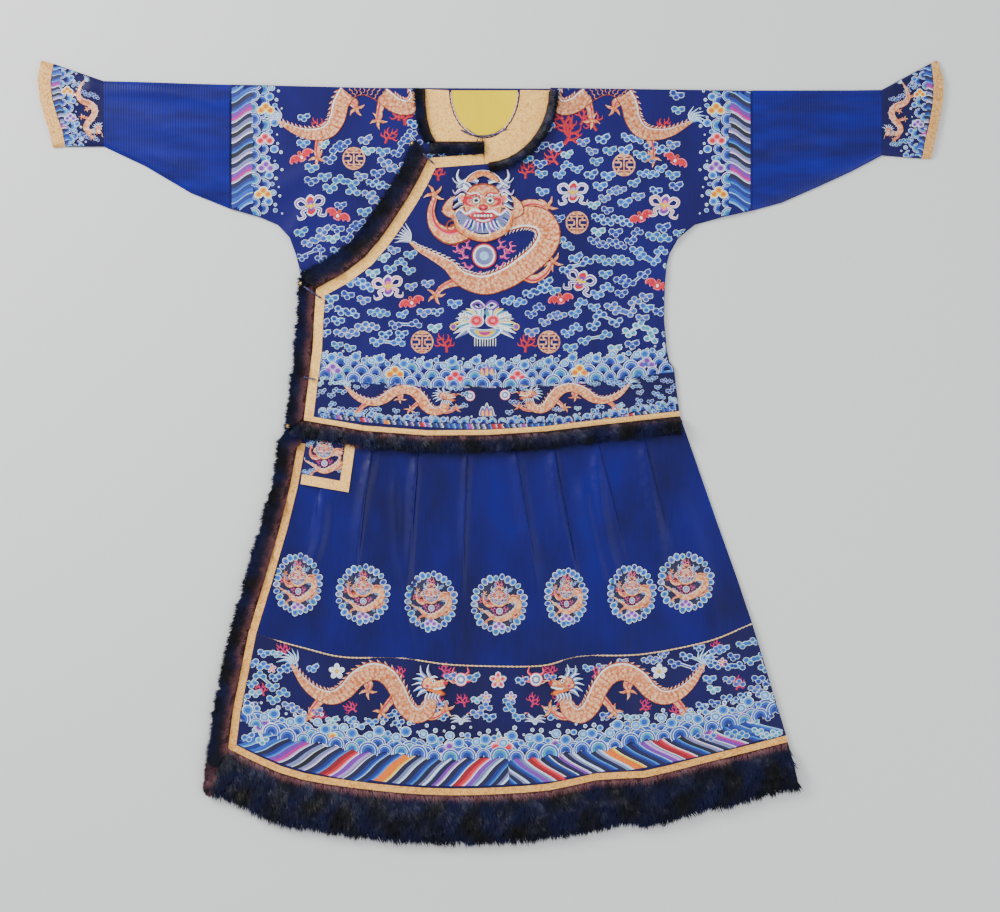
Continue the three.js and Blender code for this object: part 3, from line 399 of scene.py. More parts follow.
brocadeNodes = [n for n, cloth in panels.items() if "brocade" in cloth["finish"]]
panelTree = treeOf(surfaces)
allTree = treeOf([bpy.data.objects[n + "_cloth"] for n in panels])
brocadeTree = treeOf([bpy.data.objects[n + "_cloth"] for n in brocadeNodes])
down = Vector((0, 0, -1))


# Height in metres of the uppermost cloth at a plan point in metres.
def surfaceHeight(tree, x, y, fallback):
    hit = tree.ray_cast(Vector((x, y, 0.2)), down)[0]
    return hit.z if hit else fallback


furs = {
    "collar_fur_side": {"flow": (-1, -0.15), "length": 9, "count": 2400, "rootBand": 2.6, "tipBand": 0.3},
    "collar_fur_front": {"flow": (0.05, -1), "length": 10, "count": 2800, "rootBand": 2.6, "tipBand": 0.3},
    "collar_fur_outer": {"flow": "round the neck", "length": 10, "count": 5600, "rootBand": 2.6, "tipBand": 0.3},
    "overlap_fur": {"flow": (-0.72, 0.66), "length": 14, "count": 11000},
    "side_fur": {"flow": (-1, -0.3), "length": 13, "count": 8500},
    "waist_fur": {"flow": (0.08, -1), "length": 12, "count": 15500},
    "skirt_side_fur": {"flow": (-1, -0.42), "length": 14, "count": 16500},
    "hem_fur": {"flow": (0.06, -1), "length": 17, "count": 41000, "rootBand": 3.2, "tipBand": 0.3},
    "corner_fur": {"flow": (-1, -0.5), "length": 11, "count": 2200, "mound": ((-379, 22, 7), (19, 15, 6), 0.0)},
    "corner_tuft": {"flow": (-0.3, -1), "length": 10, "count": 2600, "tone": "brown",
                    "mound": ((-534, -624, 7), (13, 35, 6.5), -0.2)},
}
furShades = {"black": "#010103", "navy": "#020416", "blue": "#0a1654", "brown": "#4c1e28", "root": "#a06c68"}
furLinear = {name: np.array(toLinear(h)[:3]) for name, h in furShades.items()}
neckCentre = (-12.5, 690.0)
# How hair lies: shares of lumps and of chance in its turn, lift and length; sizes in mm.
hairLay = {"width": 0.62, "turn": (0.7, 0.5, 0.22), "lift": (0.42, 0.25, 0.12), "length": (0.22, 0.16),
           "droop": 0.16, "sunk": 0.5, "clear": 0.3, "steepest": 0.15, "peltLumps": (1.1, 0.7)}


# Smooth pseudo-random values about zero over plan points in metres, with lumps of the given size in mm.
def lumps(points, size):
    x, y = points[:, 0] / mm / size, points[:, 1] / mm / size
    return (np.sin(1.7 * x + 2.1 * np.sin(0.9 * y)) + np.sin(1.3 * y + 1.9 * np.sin(1.1 * x + 0.7))
            + np.sin(0.8 * (x + y) + 2.3 * np.sin(0.6 * x - 0.8 * y))) / 3


def colourAttribute(mesh, shades):
    layer = mesh.color_attributes.new("shade", "FLOAT_COLOR", "POINT")
    layer.data.foreach_set("color", np.column_stack([shades, np.ones(len(shades))]).ravel())


# A mound of pelt where there is no roll, such as a mitred corner: centre and reach in mm.
def mound(fur):
    shape = bmesh.new()
    bmesh.ops.create_uvsphere(shape, u_segments=20, v_segments=10, radius=mm)
    bmesh.ops.triangulate(shape, faces=shape.faces)
    centre, reach, turn = Vector(fur["mound"][0]), fur["mound"][1], fur["mound"][2]
    for vertex in shape.verts:
        x, y = vertex.co.x * reach[0], vertex.co.y * reach[1]
        vertex.co = Vector((x * math.cos(turn) - y * math.sin(turn), x * math.sin(turn) + y * math.cos(turn),
                            vertex.co.z * reach[2])) + centre * mm
    return shape


# The pelt under the hair, uneven on top.
def peltOf(node, fur):
    skin = mound(fur) if "mound" in fur else fineMesh(node, 9)
    points = np.array([v.co[:] for v in skin.verts])
    top = points[:, 2] > points[:, 2].min() + 0.002
    broad, fine = hairLay["peltLumps"]
    rise = np.where(top, broad * lumps(points, 9) + fine * lumps(points + 3, 4), 0)
    for vertex, height in zip(skin.verts, rise):
        vertex.co.z += height * mm
    return skin


# Places and normals of so many hairs, spread evenly over the pelt where it faces up.
def rootsOn(skin, count):
    faces = [f for f in skin.faces if f.normal.z > hairLay["steepest"]]
    areas = np.array([f.calc_area() for f in faces])
    chosen = grain.choice(len(faces), count, p=areas / areas.sum())
    corners = np.array([[v.co[:] for v in faces[i].verts] for i in chosen])
    normals = np.array([faces[i].normal[:] for i in chosen])
    u, v = grain.random((2, count, 1))
    flip = u + v > 1
    u, v = np.where(flip, 1 - u, u), np.where(flip, 1 - v, v)
    return corners[:, 0] + u * (corners[:, 1] - corners[:, 0]) + v * (corners[:, 2] - corners[:, 0]), normals


# The five corners of each hair: it grows along the flow, swirled and lifted in lumps, and droops at its tip.
def strandsOf(fur, roots, normals):
    count = len(roots)
    if fur["flow"] == "round the neck":
        flow = roots[:, :2] - np.array(neckCentre) * mm
    else:
        flow = np.tile(np.array(fur["flow"], float), (count, 1))
    flow /= np.linalg.norm(flow, axis=1, keepdims=True)
    broad, fine, chance = hairLay["turn"]
    turn = broad * lumps(roots, 16) + fine * lumps(roots + 5, 5) + grain.normal(0, chance, count)
    flow = turnedBy(flow, turn)
    usual, lumpy, chance = hairLay["lift"]
    lift = np.clip(usual + lumpy * lumps(roots + 9, 8) + grain.normal(0, chance, count), 0.08, 0.95)
    growth = np.column_stack([flow, lift]) + 0.25 * normals
    growth /= np.linalg.norm(growth, axis=1, keepdims=True)
    lumpy, chance = hairLay["length"]
    length = fur["length"] * mm * np.clip(1 + lumpy * lumps(roots, 6) + grain.normal(0, chance, count), 0.45, 1.4)
    side = np.column_stack([-flow[:, 1], flow[:, 0], np.zeros(count)])
    width = hairLay["width"] * mm * (0.8 + 0.5 * grain.random((count, 1)))
    base = roots - normals * hairLay["sunk"] * mm
    middle = roots + growth * (0.55 * length)[:, None]
    tip = roots + growth * length[:, None]
    tip[:, 2] -= hairLay["droop"] * length
    for part in (middle, tip):
        part[:, 2] = np.maximum(part[:, 2], hairLay["clear"] * mm)
    return np.stack([base - side * width, base + side * width, middle + side * width * 0.75,
                     middle - side * width * 0.75, tip], axis=1)


# Warm at the roots by the brocade, dark elsewhere, with a painted blue sheen in patches, strongest on the tips.
def hairShades(fur, roots):
    count = len(roots)
    near = np.array([brocadeTree.find_nearest(Vector(p))[3] or 1 for p in roots]) / mm
    byBand = np.exp(-(np.clip(near - 1.5, 0, None) / fur.get("rootBand", 6.0)) ** 2)[:, None]
    if fur.get("tone"):
        byBand = np.clip(0.55 + 0.6 * lumps(roots, 7), 0, 1)[:, None]
    # painted sheen: patches where the hair is drawn navy, and lighter blue at the tips, standing in for light on
    # the fur
    paintedSheen = np.clip(0.45 + 0.75 * lumps(roots, 21) + grain.normal(0, 0.2, count), 0, 1)[:, None]
    dark = furLinear["black"] * (1 - paintedSheen) + furLinear["navy"] * paintedSheen
    lit = dark * (1 - 0.6 * paintedSheen) + furLinear["blue"] * 0.6 * paintedSheen
    warm = furLinear["brown"] * (1 - 0.55 * grain.random((count, 1))) + furLinear["root"] * 0.35
    rootShade = dark * (1 - byBand) + warm * byBand
    tipWarmth = fur.get("tipBand", 0.8) * byBand
    tipShade = lit * (1 - tipWarmth) + warm * tipWarmth
    midShade = (rootShade + tipShade) / 2
    return np.stack([rootShade, rootShade, midShade, midShade, tipShade], axis=1).reshape(-1, 3)


def furPiece(node, fur):
    count = fur["count"]
    skin = peltOf(node, fur)
    roots, normals = rootsOn(skin, count)
    skinMesh = meshOf(skin, node)
    beside = np.array([brocadeTree.find_nearest(v.co)[3] or 1 for v in skinMesh.vertices])[:, None] / mm
    warmth = np.exp(-(beside / (fur.get("rootBand", 6.0) + 1)) ** 2)
    colourAttribute(skinMesh, furLinear["black"] * (1 - warmth) + furLinear["brown"] * 0.7 * warmth)
    skinPiece = addPiece(node + "_pelt", skinMesh, "fur")
    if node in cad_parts:
        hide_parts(node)
    strands = strandsOf(fur, roots, normals)
    start = 5 * np.arange(count)[:, None]
    quads = (start + np.array([[0, 1, 2, 3]])).tolist()
    ends = (start + np.array([[3, 2, 4]])).tolist()
    mesh = bpy.data.meshes.new(node + "_hair")
    mesh.from_pydata(strands.reshape(-1, 3).tolist(), [], quads + ends)
    mesh.shade_smooth()
    colourAttribute(mesh, hairShades(fur, roots))
    return addPiece(node + "_hair", mesh, "fur")


for node, fur in furs.items():
    furPiece(node, fur)
print("fur grown")

# Embroidery: flat shapes in floss silk and gold thread, sewn on the panels
floss = {
    "white": "#e4ebf0", "pale": "#98c4e8", "sky": "#3c90d6", "blue": "#1450b4", "deep": "#082480",
    "navy": "#08083c", "ink": "#05051c", "teal": "#2c92ac", "grey": "#6f78aa",
    "lilac": "#b48cd0", "purple": "#7428a4", "magenta": "#b01080", "pink": "#f07088", "red": "#cc0c28",
    "crimson": "#900820", "yellow": "#ecc420", "orange": "#e06c18", "cream": "#f4d898",
}
goldThread = {"peach": "#f8c8a0", "gold": "#f0ae74", "rust": "#a04a26", "bright": "#ffe4b8", "scale": "#de9c70"}
threadLinear = {name: toLinear(h)[:3] for name, h in {**floss, **goldThread}.items()}


# In mm: height of one layer of stitching over the last, ring width of a patch, lift of hidden stitching.
stitching = {"layer": 0.009, "ring": 9, "hidden": 0.1, "cover": 0.2}


def newWork(name):
    kinds = {kind: {"points": [], "lift": [], "shade": [], "run": [], "faces": [], "count": 0}
             for kind in ("silk", "gold")}
    return {"name": name, "kinds": kinds, "layer": [0], "move": None, "size": 1.0}


# The same work, drawn about another place, smaller, mirrored or turned.
def movedWork(work, origin, to, scale=1.0, flip=1, turn=0.0):
    work["layer"][0] = 0
    wide, high = scale if isinstance(scale, tuple) else (scale, scale)
    return dict(work, move=(np.array(origin), np.array(to), np.array((wide * flip, high)), turn),
                size=(wide + high) / 2)


def addShape(work, points, lift, colour, run, faces):
    if work["move"]:
        origin, to, scale, turn = work["move"]
        points = turnedBy((points - origin) * scale, turn) + to
    kind = work["kinds"]["gold" if colour in goldThread else "silk"]
    shade = np.tile(threadLinear[colour], (len(points), 1))
    start = kind["count"]
    kind["points"].append(points)
    kind["lift"].append(lift + stitching["layer"] * work["layer"][0])
    kind["shade"].append(shade * dice.uniform(0.88, 1.1))
    kind["run"].append(run)
    kind["faces"] += [[start + i for i in f] for f in faces]
    kind["count"] = start + len(points)


def headingsOf(line):
    heading = np.gradient(line, axis=0)
    return heading / np.maximum(np.linalg.norm(heading, axis=1, keepdims=True), 1e-6)


def runAlong(line):
    return np.concatenate([[0], np.cumsum(np.linalg.norm(np.diff(line, axis=0), axis=1))])


# The values spread evenly over a number of places.
def spread(values, count):
    return np.interp(np.linspace(0, 1, count), np.linspace(0, 1, len(values)), values)


# A smooth line through the points, in steps of about the given length.
def smoothLine(points, step=4.0, closed=False):
    points = np.asarray(points, float)
    if closed:
        points = np.vstack([points[-1], points, points[0], points[1]])
    elif len(points) == 2:
        count = max(2, math.ceil(np.linalg.norm(points[1] - points[0]) / step) + 1)
        return np.linspace(points[0], points[1], count)
    else:
        points = np.vstack([2 * points[0] - points[1], points, 2 * points[-1] - points[-2]])
    parts = []
    for a, b, c, d in zip(points, points[1:], points[2:], points[3:]):
        count = max(2, math.ceil(np.linalg.norm(c - b) / step))
        t = np.linspace(0, 1, count, endpoint=False)[:, None]
        parts.append(0.5 * (2 * b + (c - a) * t + (2 * a - 5 * b + 4 * c - d) * t ** 2
                            + (3 * b - a - 3 * c + d) * t ** 3))
    if not closed:
        parts.append(points[-2][None])
    return np.vstack(parts)


# Colours from one edge to the other, as in "white 0.5 blue": a number is where the next begins, - is bare.
def bandsOf(bands, start, end):
    if not isinstance(bands, str):
        return bands
    words = bands.split()
    marks = [start, *map(float, words[1::2]), end]
    return [(min(a, b), max(a, b), c) for a, b, c in zip(marks, marks[1:], words[::2]) if c != "-"]


# A band along a line: half widths in mm from start to end, colours from -1 on its right to 1 on its left.
def ribbon(work, path, widths, bands, step=4.0, lift=0.4, rise=0.25):
    line = smoothLine(path, step / work["size"])
    count = len(line)
    heading, run = headingsOf(line), runAlong(line)
    across = np.column_stack([-heading[:, 1], heading[:, 0]])
    half = spread(widths, count)[:, None]
    faces = [[i, i + 1, count + i + 1, count + i] for i in range(count - 1)]
    for low, high, colour in bandsOf(bands, -1, 1):
        points = np.concatenate([line + across * half * low, line + across * half * high])
        lifts = lift + rise * np.repeat([1 - low ** 2, 1 - high ** 2], count)
        addShape(work, points, lifts, colour, np.concatenate([run, run]), faces)
    work["layer"][0] += 1


# A filled outline in rings of colour about a centre, from 1 at its edge to 0.
def patch(work, centre, outline, bands, lift=0.4, rise=0.3, closed=True):
    centre, outline = np.array(centre, float), np.asarray(outline, float)
    count = len(outline)
    reach = np.linalg.norm(outline - centre, axis=1).max() * work["size"]
    ahead = [(i + 1) % count for i in range(count)] if closed else list(range(1, count))
    for low, high, colour in bandsOf(bands, 1, 0):
        steps = max(1, math.ceil((high - low) * reach / stitching["ring"]))
        shares = np.linspace(low, high, steps + 1)
        faces = []
        if low == 0:
            rings, points, shares = shares[1:], [centre[None]], shares[1:]
            faces = [[0, 1 + i, 1 + j] for i, j in enumerate(ahead)]
            first, lifts = 1, [np.array([lift + rise])]
        else:
            rings, points, first, lifts = shares, [], 0, []
        for ring, share in enumerate(rings):
            points.append(centre + (outline - centre) * share)
            lifts.append(np.full(count, lift + rise * (1 - share ** 2)))
            if ring:
                inner, outer = first + (ring - 1) * count, first + ring * count
                faces += [[inner + i, outer + i, outer + j, inner + j] for i, j in enumerate(ahead)]
        points = np.vstack(points)
        run = np.linalg.norm(points - centre, axis=1)
        addShape(work, points, np.concatenate(lifts), colour, run, faces)
    work["layer"][0] += 1


def arc(centre, radius, start, end, count, squash=1.0, turn=0.0):
    angles = np.radians(np.linspace(start, end, count))
    return turnedBy(np.column_stack([np.cos(angles), squash * np.sin(angles)]) * radius, turn) + centre


def disc(work, centre, radius, bands, count=12, squash=1.0, turn=0.0, lift=0.4, rise=0.3):
    patch(work, centre, arc(centre, radius, 0, 360 * (1 - 1 / count), count, squash, turn), bands, lift, rise)


def curl(work, centre, radius, start, turns, width, colour, count=10):
    share = np.linspace(0, 1, count)
    angles = math.radians(start) + share * turns * 2 * math.pi
    path = np.column_stack([np.cos(angles), np.sin(angles)]) * (radius * (1 - 0.8 * share))[:, None] + centre
    ribbon(work, path, [width, width * 0.6], colour, step=50, lift=0.5, rise=0.1)


# Shades of a cloud: its light and deep colour inside the white outline.
cloudShades = [("sky", "blue"), ("grey", "blue"), ("blue", "deep"), ("teal", "blue"), ("pale", "teal"),
               ("sky", "deep")]
# Where a cloud's heads lie along its stem; every head is three lobes.
cloudShapes = [
    [(-27, 10), (0, -8), (24, 10)],
    [(-24, -10), (0, 8), (27, -3), (20, 22)],
    [(-36, 6), (-10, -9), (16, 8), (40, -6)],
    [(-15, 8), (13, -8)],
    [(-26, -10), (-6, 8), (22, 9), (28, -14)],
    [(-20, -14), (0, 4), (20, 18)],
    [(-30, 12), (-12, -8), (14, -12), (30, 9)],
]


def cloud(work, place, size, turn, shades, shape):
    light, deep = shades
    small = movedWork(work, (0, 0), place, size, 1, turn)
    ends = [(shape[0][0] - 16, shape[0][1] - 9), *shape, (shape[-1][0] + 17, shape[-1][1] + 7)]
    ribbon(small, ends, [0.6, 3.6, 3.6, 3.6, 0.6], f"white -0.55 {light} 0.55 white", 6)
    for i, (x, y) in enumerate(shape):
        up = 1 if i % 2 else -1
        for dx, dy, radius in ((-9.5, 0, 8.4), (9.5, 0, 8.4), (0, up * 8.5, 7.8)):
            disc(small, (x + dx, y + dy), radius, f"white 0.86 {light} 0.62 {deep}", 9, 0.84)
            if size > 0.5:
                curl(small, (x + dx, y + dy), radius * 0.5, 90 + 60 * i, 0.9, 0.8, "white", 6)


def flame(work, path, width, shades=("red", "pink")):
    ribbon(work, path, [width, width * 0.8, width * 0.25], f"{shades[0]} 0.2 {shades[1]}", 5)


# A sprig of coral or fire: curved prongs either side of a stem.
def coral(work, place, size, turn, shades=("red", "crimson"), mirrored=1):
    small = movedWork(work, (0, 0), place, size, mirrored, turn)
    flame(small, [(0, -14), (1, -3), (-2, 7), (1, 18)], 2.4, shades)
    for side, y, reach in ((1, -6, 11), (-1, -2, 12), (1, 3, 9), (-1, 8, 8)):
        flame(small, [(0, y), (side * reach * 0.6, y + 3), (side * reach, y + 10), (side * reach * 0.8, y + 14)],
              2.0, shades)
        flame(small, [(side * reach * 0.6, y + 3), (side * reach * 1.3, y + 2), (side * reach * 1.5, y + 7)], 1.5,
              shades)


def fret(work, place, radius):
    small = movedWork(work, (0, 0), place, radius / 19)
    disc(small, (0, 0), 19, "peach 0.86 -", 24)
    bars = [((-12, 10), (12, 10)), ((-12, -10), (12, -10)), ((0, 16), (0, -16)), ((-15, 4), (-4.5, 4)),
            ((4.5, 4), (15, 4)), ((-15, -4), (-4.5, -4)), ((4.5, -4), (15, -4)), ((-9, 10), (-9, 4)),
            ((9, 10), (9, 4)), ((-9, -10), (-9, -4)), ((9, -10), (9, -4)), ((-4.5, 4), (-4.5, -4)),
            ((4.5, 4), (4.5, -4)), ((-8, 14), (8, 14)), ((-8, -14), (8, -14))]
    for start, end in bars:
        ribbon(small, [start, end], [1.25, 1.25], "peach", 8)


def bat(work, place, size, turn):
    small = movedWork(work, (0, 0), place, size, 1, turn)
    for side in (-1, 1):
        wing = [(side * x, y) for x, y in ((2, 3), (9, 10), (18, 9), (24, 2), (21, -3), (16, 0), (13, -6), (9, -2),
                                           (5, -8), (2, -4))]
        patch(small, (side * 11, 2), smoothLine(wing, 3.5, True), "pink 0.84 red")
        curl(small, (side * 15, 3), 4, 90, 0.8 * side, 0.7, "orange", 7)
    disc(small, (0, 0), 6.5, "pink 0.8 red 0.4 white", 10, 1.3)
    disc(small, (0, 9), 3.6, "orange 0.7 crimson", 8)


# One of the ribboned emblems: a jewel or gourd with floating white ribbons.
def emblem(work, place, size, turn, shades):
    small = movedWork(work, (0, 0), place, size, 1, turn)
    edges = [(-1, -0.4, "white"), (-0.4, 0.4, shades[1]), (0.4, 1, "white")]
    for side in (-1, 1):
        ribbon(small, [(side * 3, 2), (side * 14, 15), (side * 25, 11), (side * 21, 1), (side * 8, 1)],
               [2.2, 3.4, 3.4, 3.0, 1.4], edges, 3.5)
        ribbon(small, [(side * 5, -3), (side * 17, -8), (side * 13, -17), (side * 24, -20), (side * 27, -12)],
               [2.4, 3.2, 2.8, 2.6, 0.4], edges, 3.5)
    gourd = smoothLine([(-9, -12), (-4, 2), (-7, 14), (3, 22), (10, 13), (5, 2), (10, -10), (0, -18)], 4, True)
    patch(small, (0.5, 0), gourd, f"white 0.82 {shades[0]} 0.5 {shades[1]} 0.26 yellow")
    ribbon(small, [(-9, 4), (0, 0), (10, 3)], [1.6, 2.2, 1.6], "yellow", 5, 0.7)


# A flower head: rounded petals about a bright centre.
def flower(work, place, radius, shades, petals=5):
    small = movedWork(work, (0, 0), place, radius / 10, 1, 0.3)
    for i in range(petals):
        angle = 2 * math.pi * i / petals
        disc(small, (6 * math.cos(angle), 6 * math.sin(angle)), 4.6, f"white 0.72 {shades[0]} 0.35 {shades[1]}", 9,
             0.8, angle)
    disc(small, (0, 0), 3.2, "orange 0.6 yellow", 8)


def pearl(work, place, radius):
    small = movedWork(work, (0, 0), place, radius / 10)
    disc(small, (0, 0), 10, "pink 0.86 white 0.66 grey 0.34 white", 18)
    curl(small, (0, 0), 6.5, 20, 1.2, 0.8, "white", 12)


# Claws spread from a paw: hooked gold toes with pale nails.
def claws(work, place, reach, towards):
    for i in range(5):
        angle = towards + math.radians(75 * (i - 2))
        bent = angle + 0.5
        knuckle = (place[0] + reach * 0.55 * math.cos(angle), place[1] + reach * 0.55 * math.sin(angle))
        tip = (knuckle[0] + reach * 0.5 * math.cos(bent), knuckle[1] + reach * 0.5 * math.sin(bent))
        ribbon(work, [place, knuckle, tip], [3.4, 3.0, 0.4], "rust -0.6 peach", 6)
        ribbon(work, [knuckle, tip], [1.3, 0.3], "white", 6)
    disc(work, place, reach * 0.3, "rust 0.8 gold", 10)


def limb(work, path, widths):
    ribbon(work, path, widths, "rust -0.84 peach 0.6 bright 0.82 rust", 6)
    ribbon(work, path, [w * 0.9 for w in widths], "- -0.62 red -0.2 pink -0.05 -", 6, 0.7)


# A scaly body: dark outlines, a pale spine, a belly in bars and rows of scales.
def dragonBody(work, path, widths, inner=1):
    line = smoothLine(path, 5 / work["size"])
    heading, half = headingsOf(line), spread(widths, len(line))
    across = np.column_stack([-heading[:, 1], heading[:, 0]]) * inner
    for i in range(2, len(line) - 2, 2):
        root = line[i] + across[i] * half[i] * 0.9
        tip = root + across[i] * (4.5 + 0.1 * half[i]) - heading[i] * 4
        ribbon(work, [root + heading[i] * 3, tip], [2.6, 0.3], "orange 0 white", 30)
    low, high = (0.7, 0.86) if inner > 0 else (-0.86, -0.7)
    ribbon(work, path, widths, "rust -0.9 peach 0.9 rust", 5, 0.5, 1.3)
    ribbon(work, path, widths, [(low, high, "white")], 5, 0.62, 1.3)
    if work["size"] < 0.5:
        return
    # scales as short arcs in staggered rows
    share = runAlong(line)
    rows = max(6, int(share[-1] / 9.5 * min(1.0, work["size"] + 0.1)))
    share /= share[-1]
    for row in range(1, rows):
        here = row / rows
        centre = np.array([np.interp(here, share, line[:, k]) for k in (0, 1)])
        ahead = np.array([np.interp(min(1, here + 0.01), share, line[:, k]) for k in (0, 1)])
        facing = math.atan2(ahead[1] - centre[1], ahead[0] - centre[0])
        width = np.interp(here, np.linspace(0, 1, len(widths)), widths)
        for place in ((-0.5, 0.05, 0.5) if row % 2 else (-0.72, -0.22, 0.28)):
            middle = centre + np.array([-math.sin(facing), math.cos(facing)]) * width * place * inner
            ribbon(work, arc(middle, width * 0.25, -75, 75, 5, 1.0, facing), [0.55, 0.75, 0.55], "scale", 50,
                   1.75 - 1.1 * place ** 2, 0.05)


# The dragon seen from the front, coiled about a flaming pearl.
frontal = {
    "origin": (-13, 411),
    "pearl": (-13, 372),
    "body": [(13, 426), (40, 440), (71, 447), (100, 438), (111, 411), (96, 380), (65, 353),
             (29, 330), (-13, 317), (-54, 328), (-81, 353), (-113, 372), (-140, 386), (-156, 399)],
    "bodyWidths": [15, 19, 22, 23, 23, 22, 22, 21, 20, 17, 13, 9, 6, 2],
    "shoulder": [(-44, 422), (-79, 411), (-106, 426), (-115, 455), (-108, 484)],
    "rightArm": [(33, 438), (60, 468), (83, 474), (106, 467)],
    "leftLeg": [(-40, 326), (-71, 321), (-94, 311), (-106, 296)],
    "rightLeg": [(48, 346), (79, 328), (104, 340), (117, 361)],
}


def frontalFace(work):
    for side in (-1, 1):
        for i, (reach, drop, shade) in enumerate(((38, 34, "grey"), (44, 24, "lilac"), (47, 12, "blue"),
                                                   (47, 0, "grey"), (46, -12, "sky"), (42, -24, "deep"),
                                                   (37, -34, "grey"), (28, -42, "blue"), (18, -48, "purple"))):
            ribbon(work, [(side * 12, 14 - i * 6), (side * reach * 0.7, drop + 5), (side * reach, drop - 3),
                          (side * (reach + 4), drop + 5)], [5.2, 4.6, 3.2, 0.5], f"white -0.4 {shade} 0.5 navy",
                   5)
        ribbon(work, [(side * 12, 26), (side * 26, 34), (side * 40, 50), (side * 38, 64)], [4.4, 4.0, 0.8],
               "grey -0.2 white", 5)
        ribbon(work, [(side * 30, 40), (side * 43, 42), (side * 48, 50)], [2.6, 0.5], "grey 0.2 white", 5)
        disc(work, (side * 33, 14), 7, "white 0.7 gold 0.35 pink", 10, 1.3)
    chin = smoothLine([(-40, -12), (-32, -36), (0, -47), (32, -36), (40, -12), (0, -20)], 6, True)
    patch(work, (0, -30), chin, "grey 0.5 blue")
    for i in range(9):
        x = -28 + 7 * i
        ribbon(work, [(x * 0.8, -24), (x * 1.05, -36), (x * 1.3, -46 + abs(x) * 0.35)], [3.4, 3.0, 0.6],
               [(-1, -0.2, "white"), (-0.2, 1, ("purple", "deep", "grey")[i % 3])], 5, 0.8)
    ribbon(work, [(-46, -14), (-36, -40), (0, -56), (36, -40), (46, -14)], [1.5, 6.0, 6.6, 6.0, 1.5],
           "rust -0.8 gold 0.3 bright", 5, 0.9)
    for side in (-1, 1):
        ribbon(work, [(side * 44, -16), (side * 56, -8), (side * 52, 8), (side * 44, 18)], [7, 9, 6, 0.6],
               "rust -0.8 peach 0.8 rust", 5, 0.5)
        curl(work, (side * 45, -17), 9, 60, side * 1.2, 1.3, "grey", 12)
    face = smoothLine([(-30, 16), (-32, 0), (-24, -18), (0, -26), (24, -18), (32, 0), (30, 16), (20, 34), (0, 40),
                       (-20, 34)], 6, True)
    patch(work, (0, 4), face, "rust 0.92 peach", 0.6, 1.0)
    for side in (-1, 1):
        ribbon(work, [(side * 8, 42), (side * 22, 46), (side * 34, 40), (side * 42, 32)], [3.4, 3.8, 3.0, 0.5],
               "white 0 grey", 5)
    crest = smoothLine([(-30, 40), (-24, 52), (-9, 62), (9, 62), (24, 52), (30, 40), (14, 46), (0, 53), (-14, 46)],
                       6, True)
    patch(work, (0, 55), crest, "white 0.9 rust 0.8 gold", 0.8, 0.6)
    disc(work, (0, 34), 3, "pink 0.5 bright", 9, 1.0, 0, 1.8)
    for side in (-1, 1):
        disc(work, (side * 11, 28), 8, "rust 0.8 bright 0.45 orange", 12, 0.8)
        ribbon(work, [(side * 3, 15), (side * 11, 22), (side * 21, 20), (side * 28, 26)], [2.6, 3.0, 0.6],
               "white 0 red", 4, 1.6)
        disc(work, (side * 11, 10), 6.8, "ink 0.84 white 0.46 ink", 14, 0.95, 0, 1.6)
        for lash in (-0.5, 0.0, 0.5):
            ribbon(work, [(side * 11 + lash * 9, 16), (side * 11 + lash * 13, 20.5)], [0.7, 0.4], "ink", 9, 1.9)
        ribbon(work, [(side * 18, 14), (side * 27, 12), (side * 24, 3), (side * 14, 1)], [3.2, 4.2, 3.4, 0.8],
               "red 0.4 pink", 4, 1.5)
        ribbon(work, [(side * 3, -12), (side * 14, -7), (side * 26, -14), (side * 37, -6), (side * 44, -14)],
               [3.0, 3.2, 2.2, 0.5], "white 0.3 pink", 4, 1.7)
        ribbon(work, [(side * 8, -7), (side * 30, 0), (side * 50, -14), (side * 66, -8)], [1.5, 1.3, 0.9, 0.3],
               "bright", 6, 1.7)
    disc(work, (0, -2), 7.6, "crimson 0.8 red 0.3 pink", 14, 0.75, 0, 1.8)
    for side in (-1, 1):
        disc(work, (side * 4, -4.5), 1.5, "ink", 8, 0.8, 0, 2.1)
    mouth = smoothLine([(-18, -14), (0, -10), (18, -14), (15, -24), (0, -29), (-15, -24)], 4, True)
    patch(work, (0, -19), mouth, "red 0.78 crimson", 1.8)
    for i in range(6):
        disc(work, (-12.5 + 5 * i, -16.5), 2.1, "white", 7, 1.2, 0, 2.2)
    ribbon(work, [(-11, -23), (0, -26), (11, -23)], [1.4, 1.8, 1.4], "white", 5, 2.1)


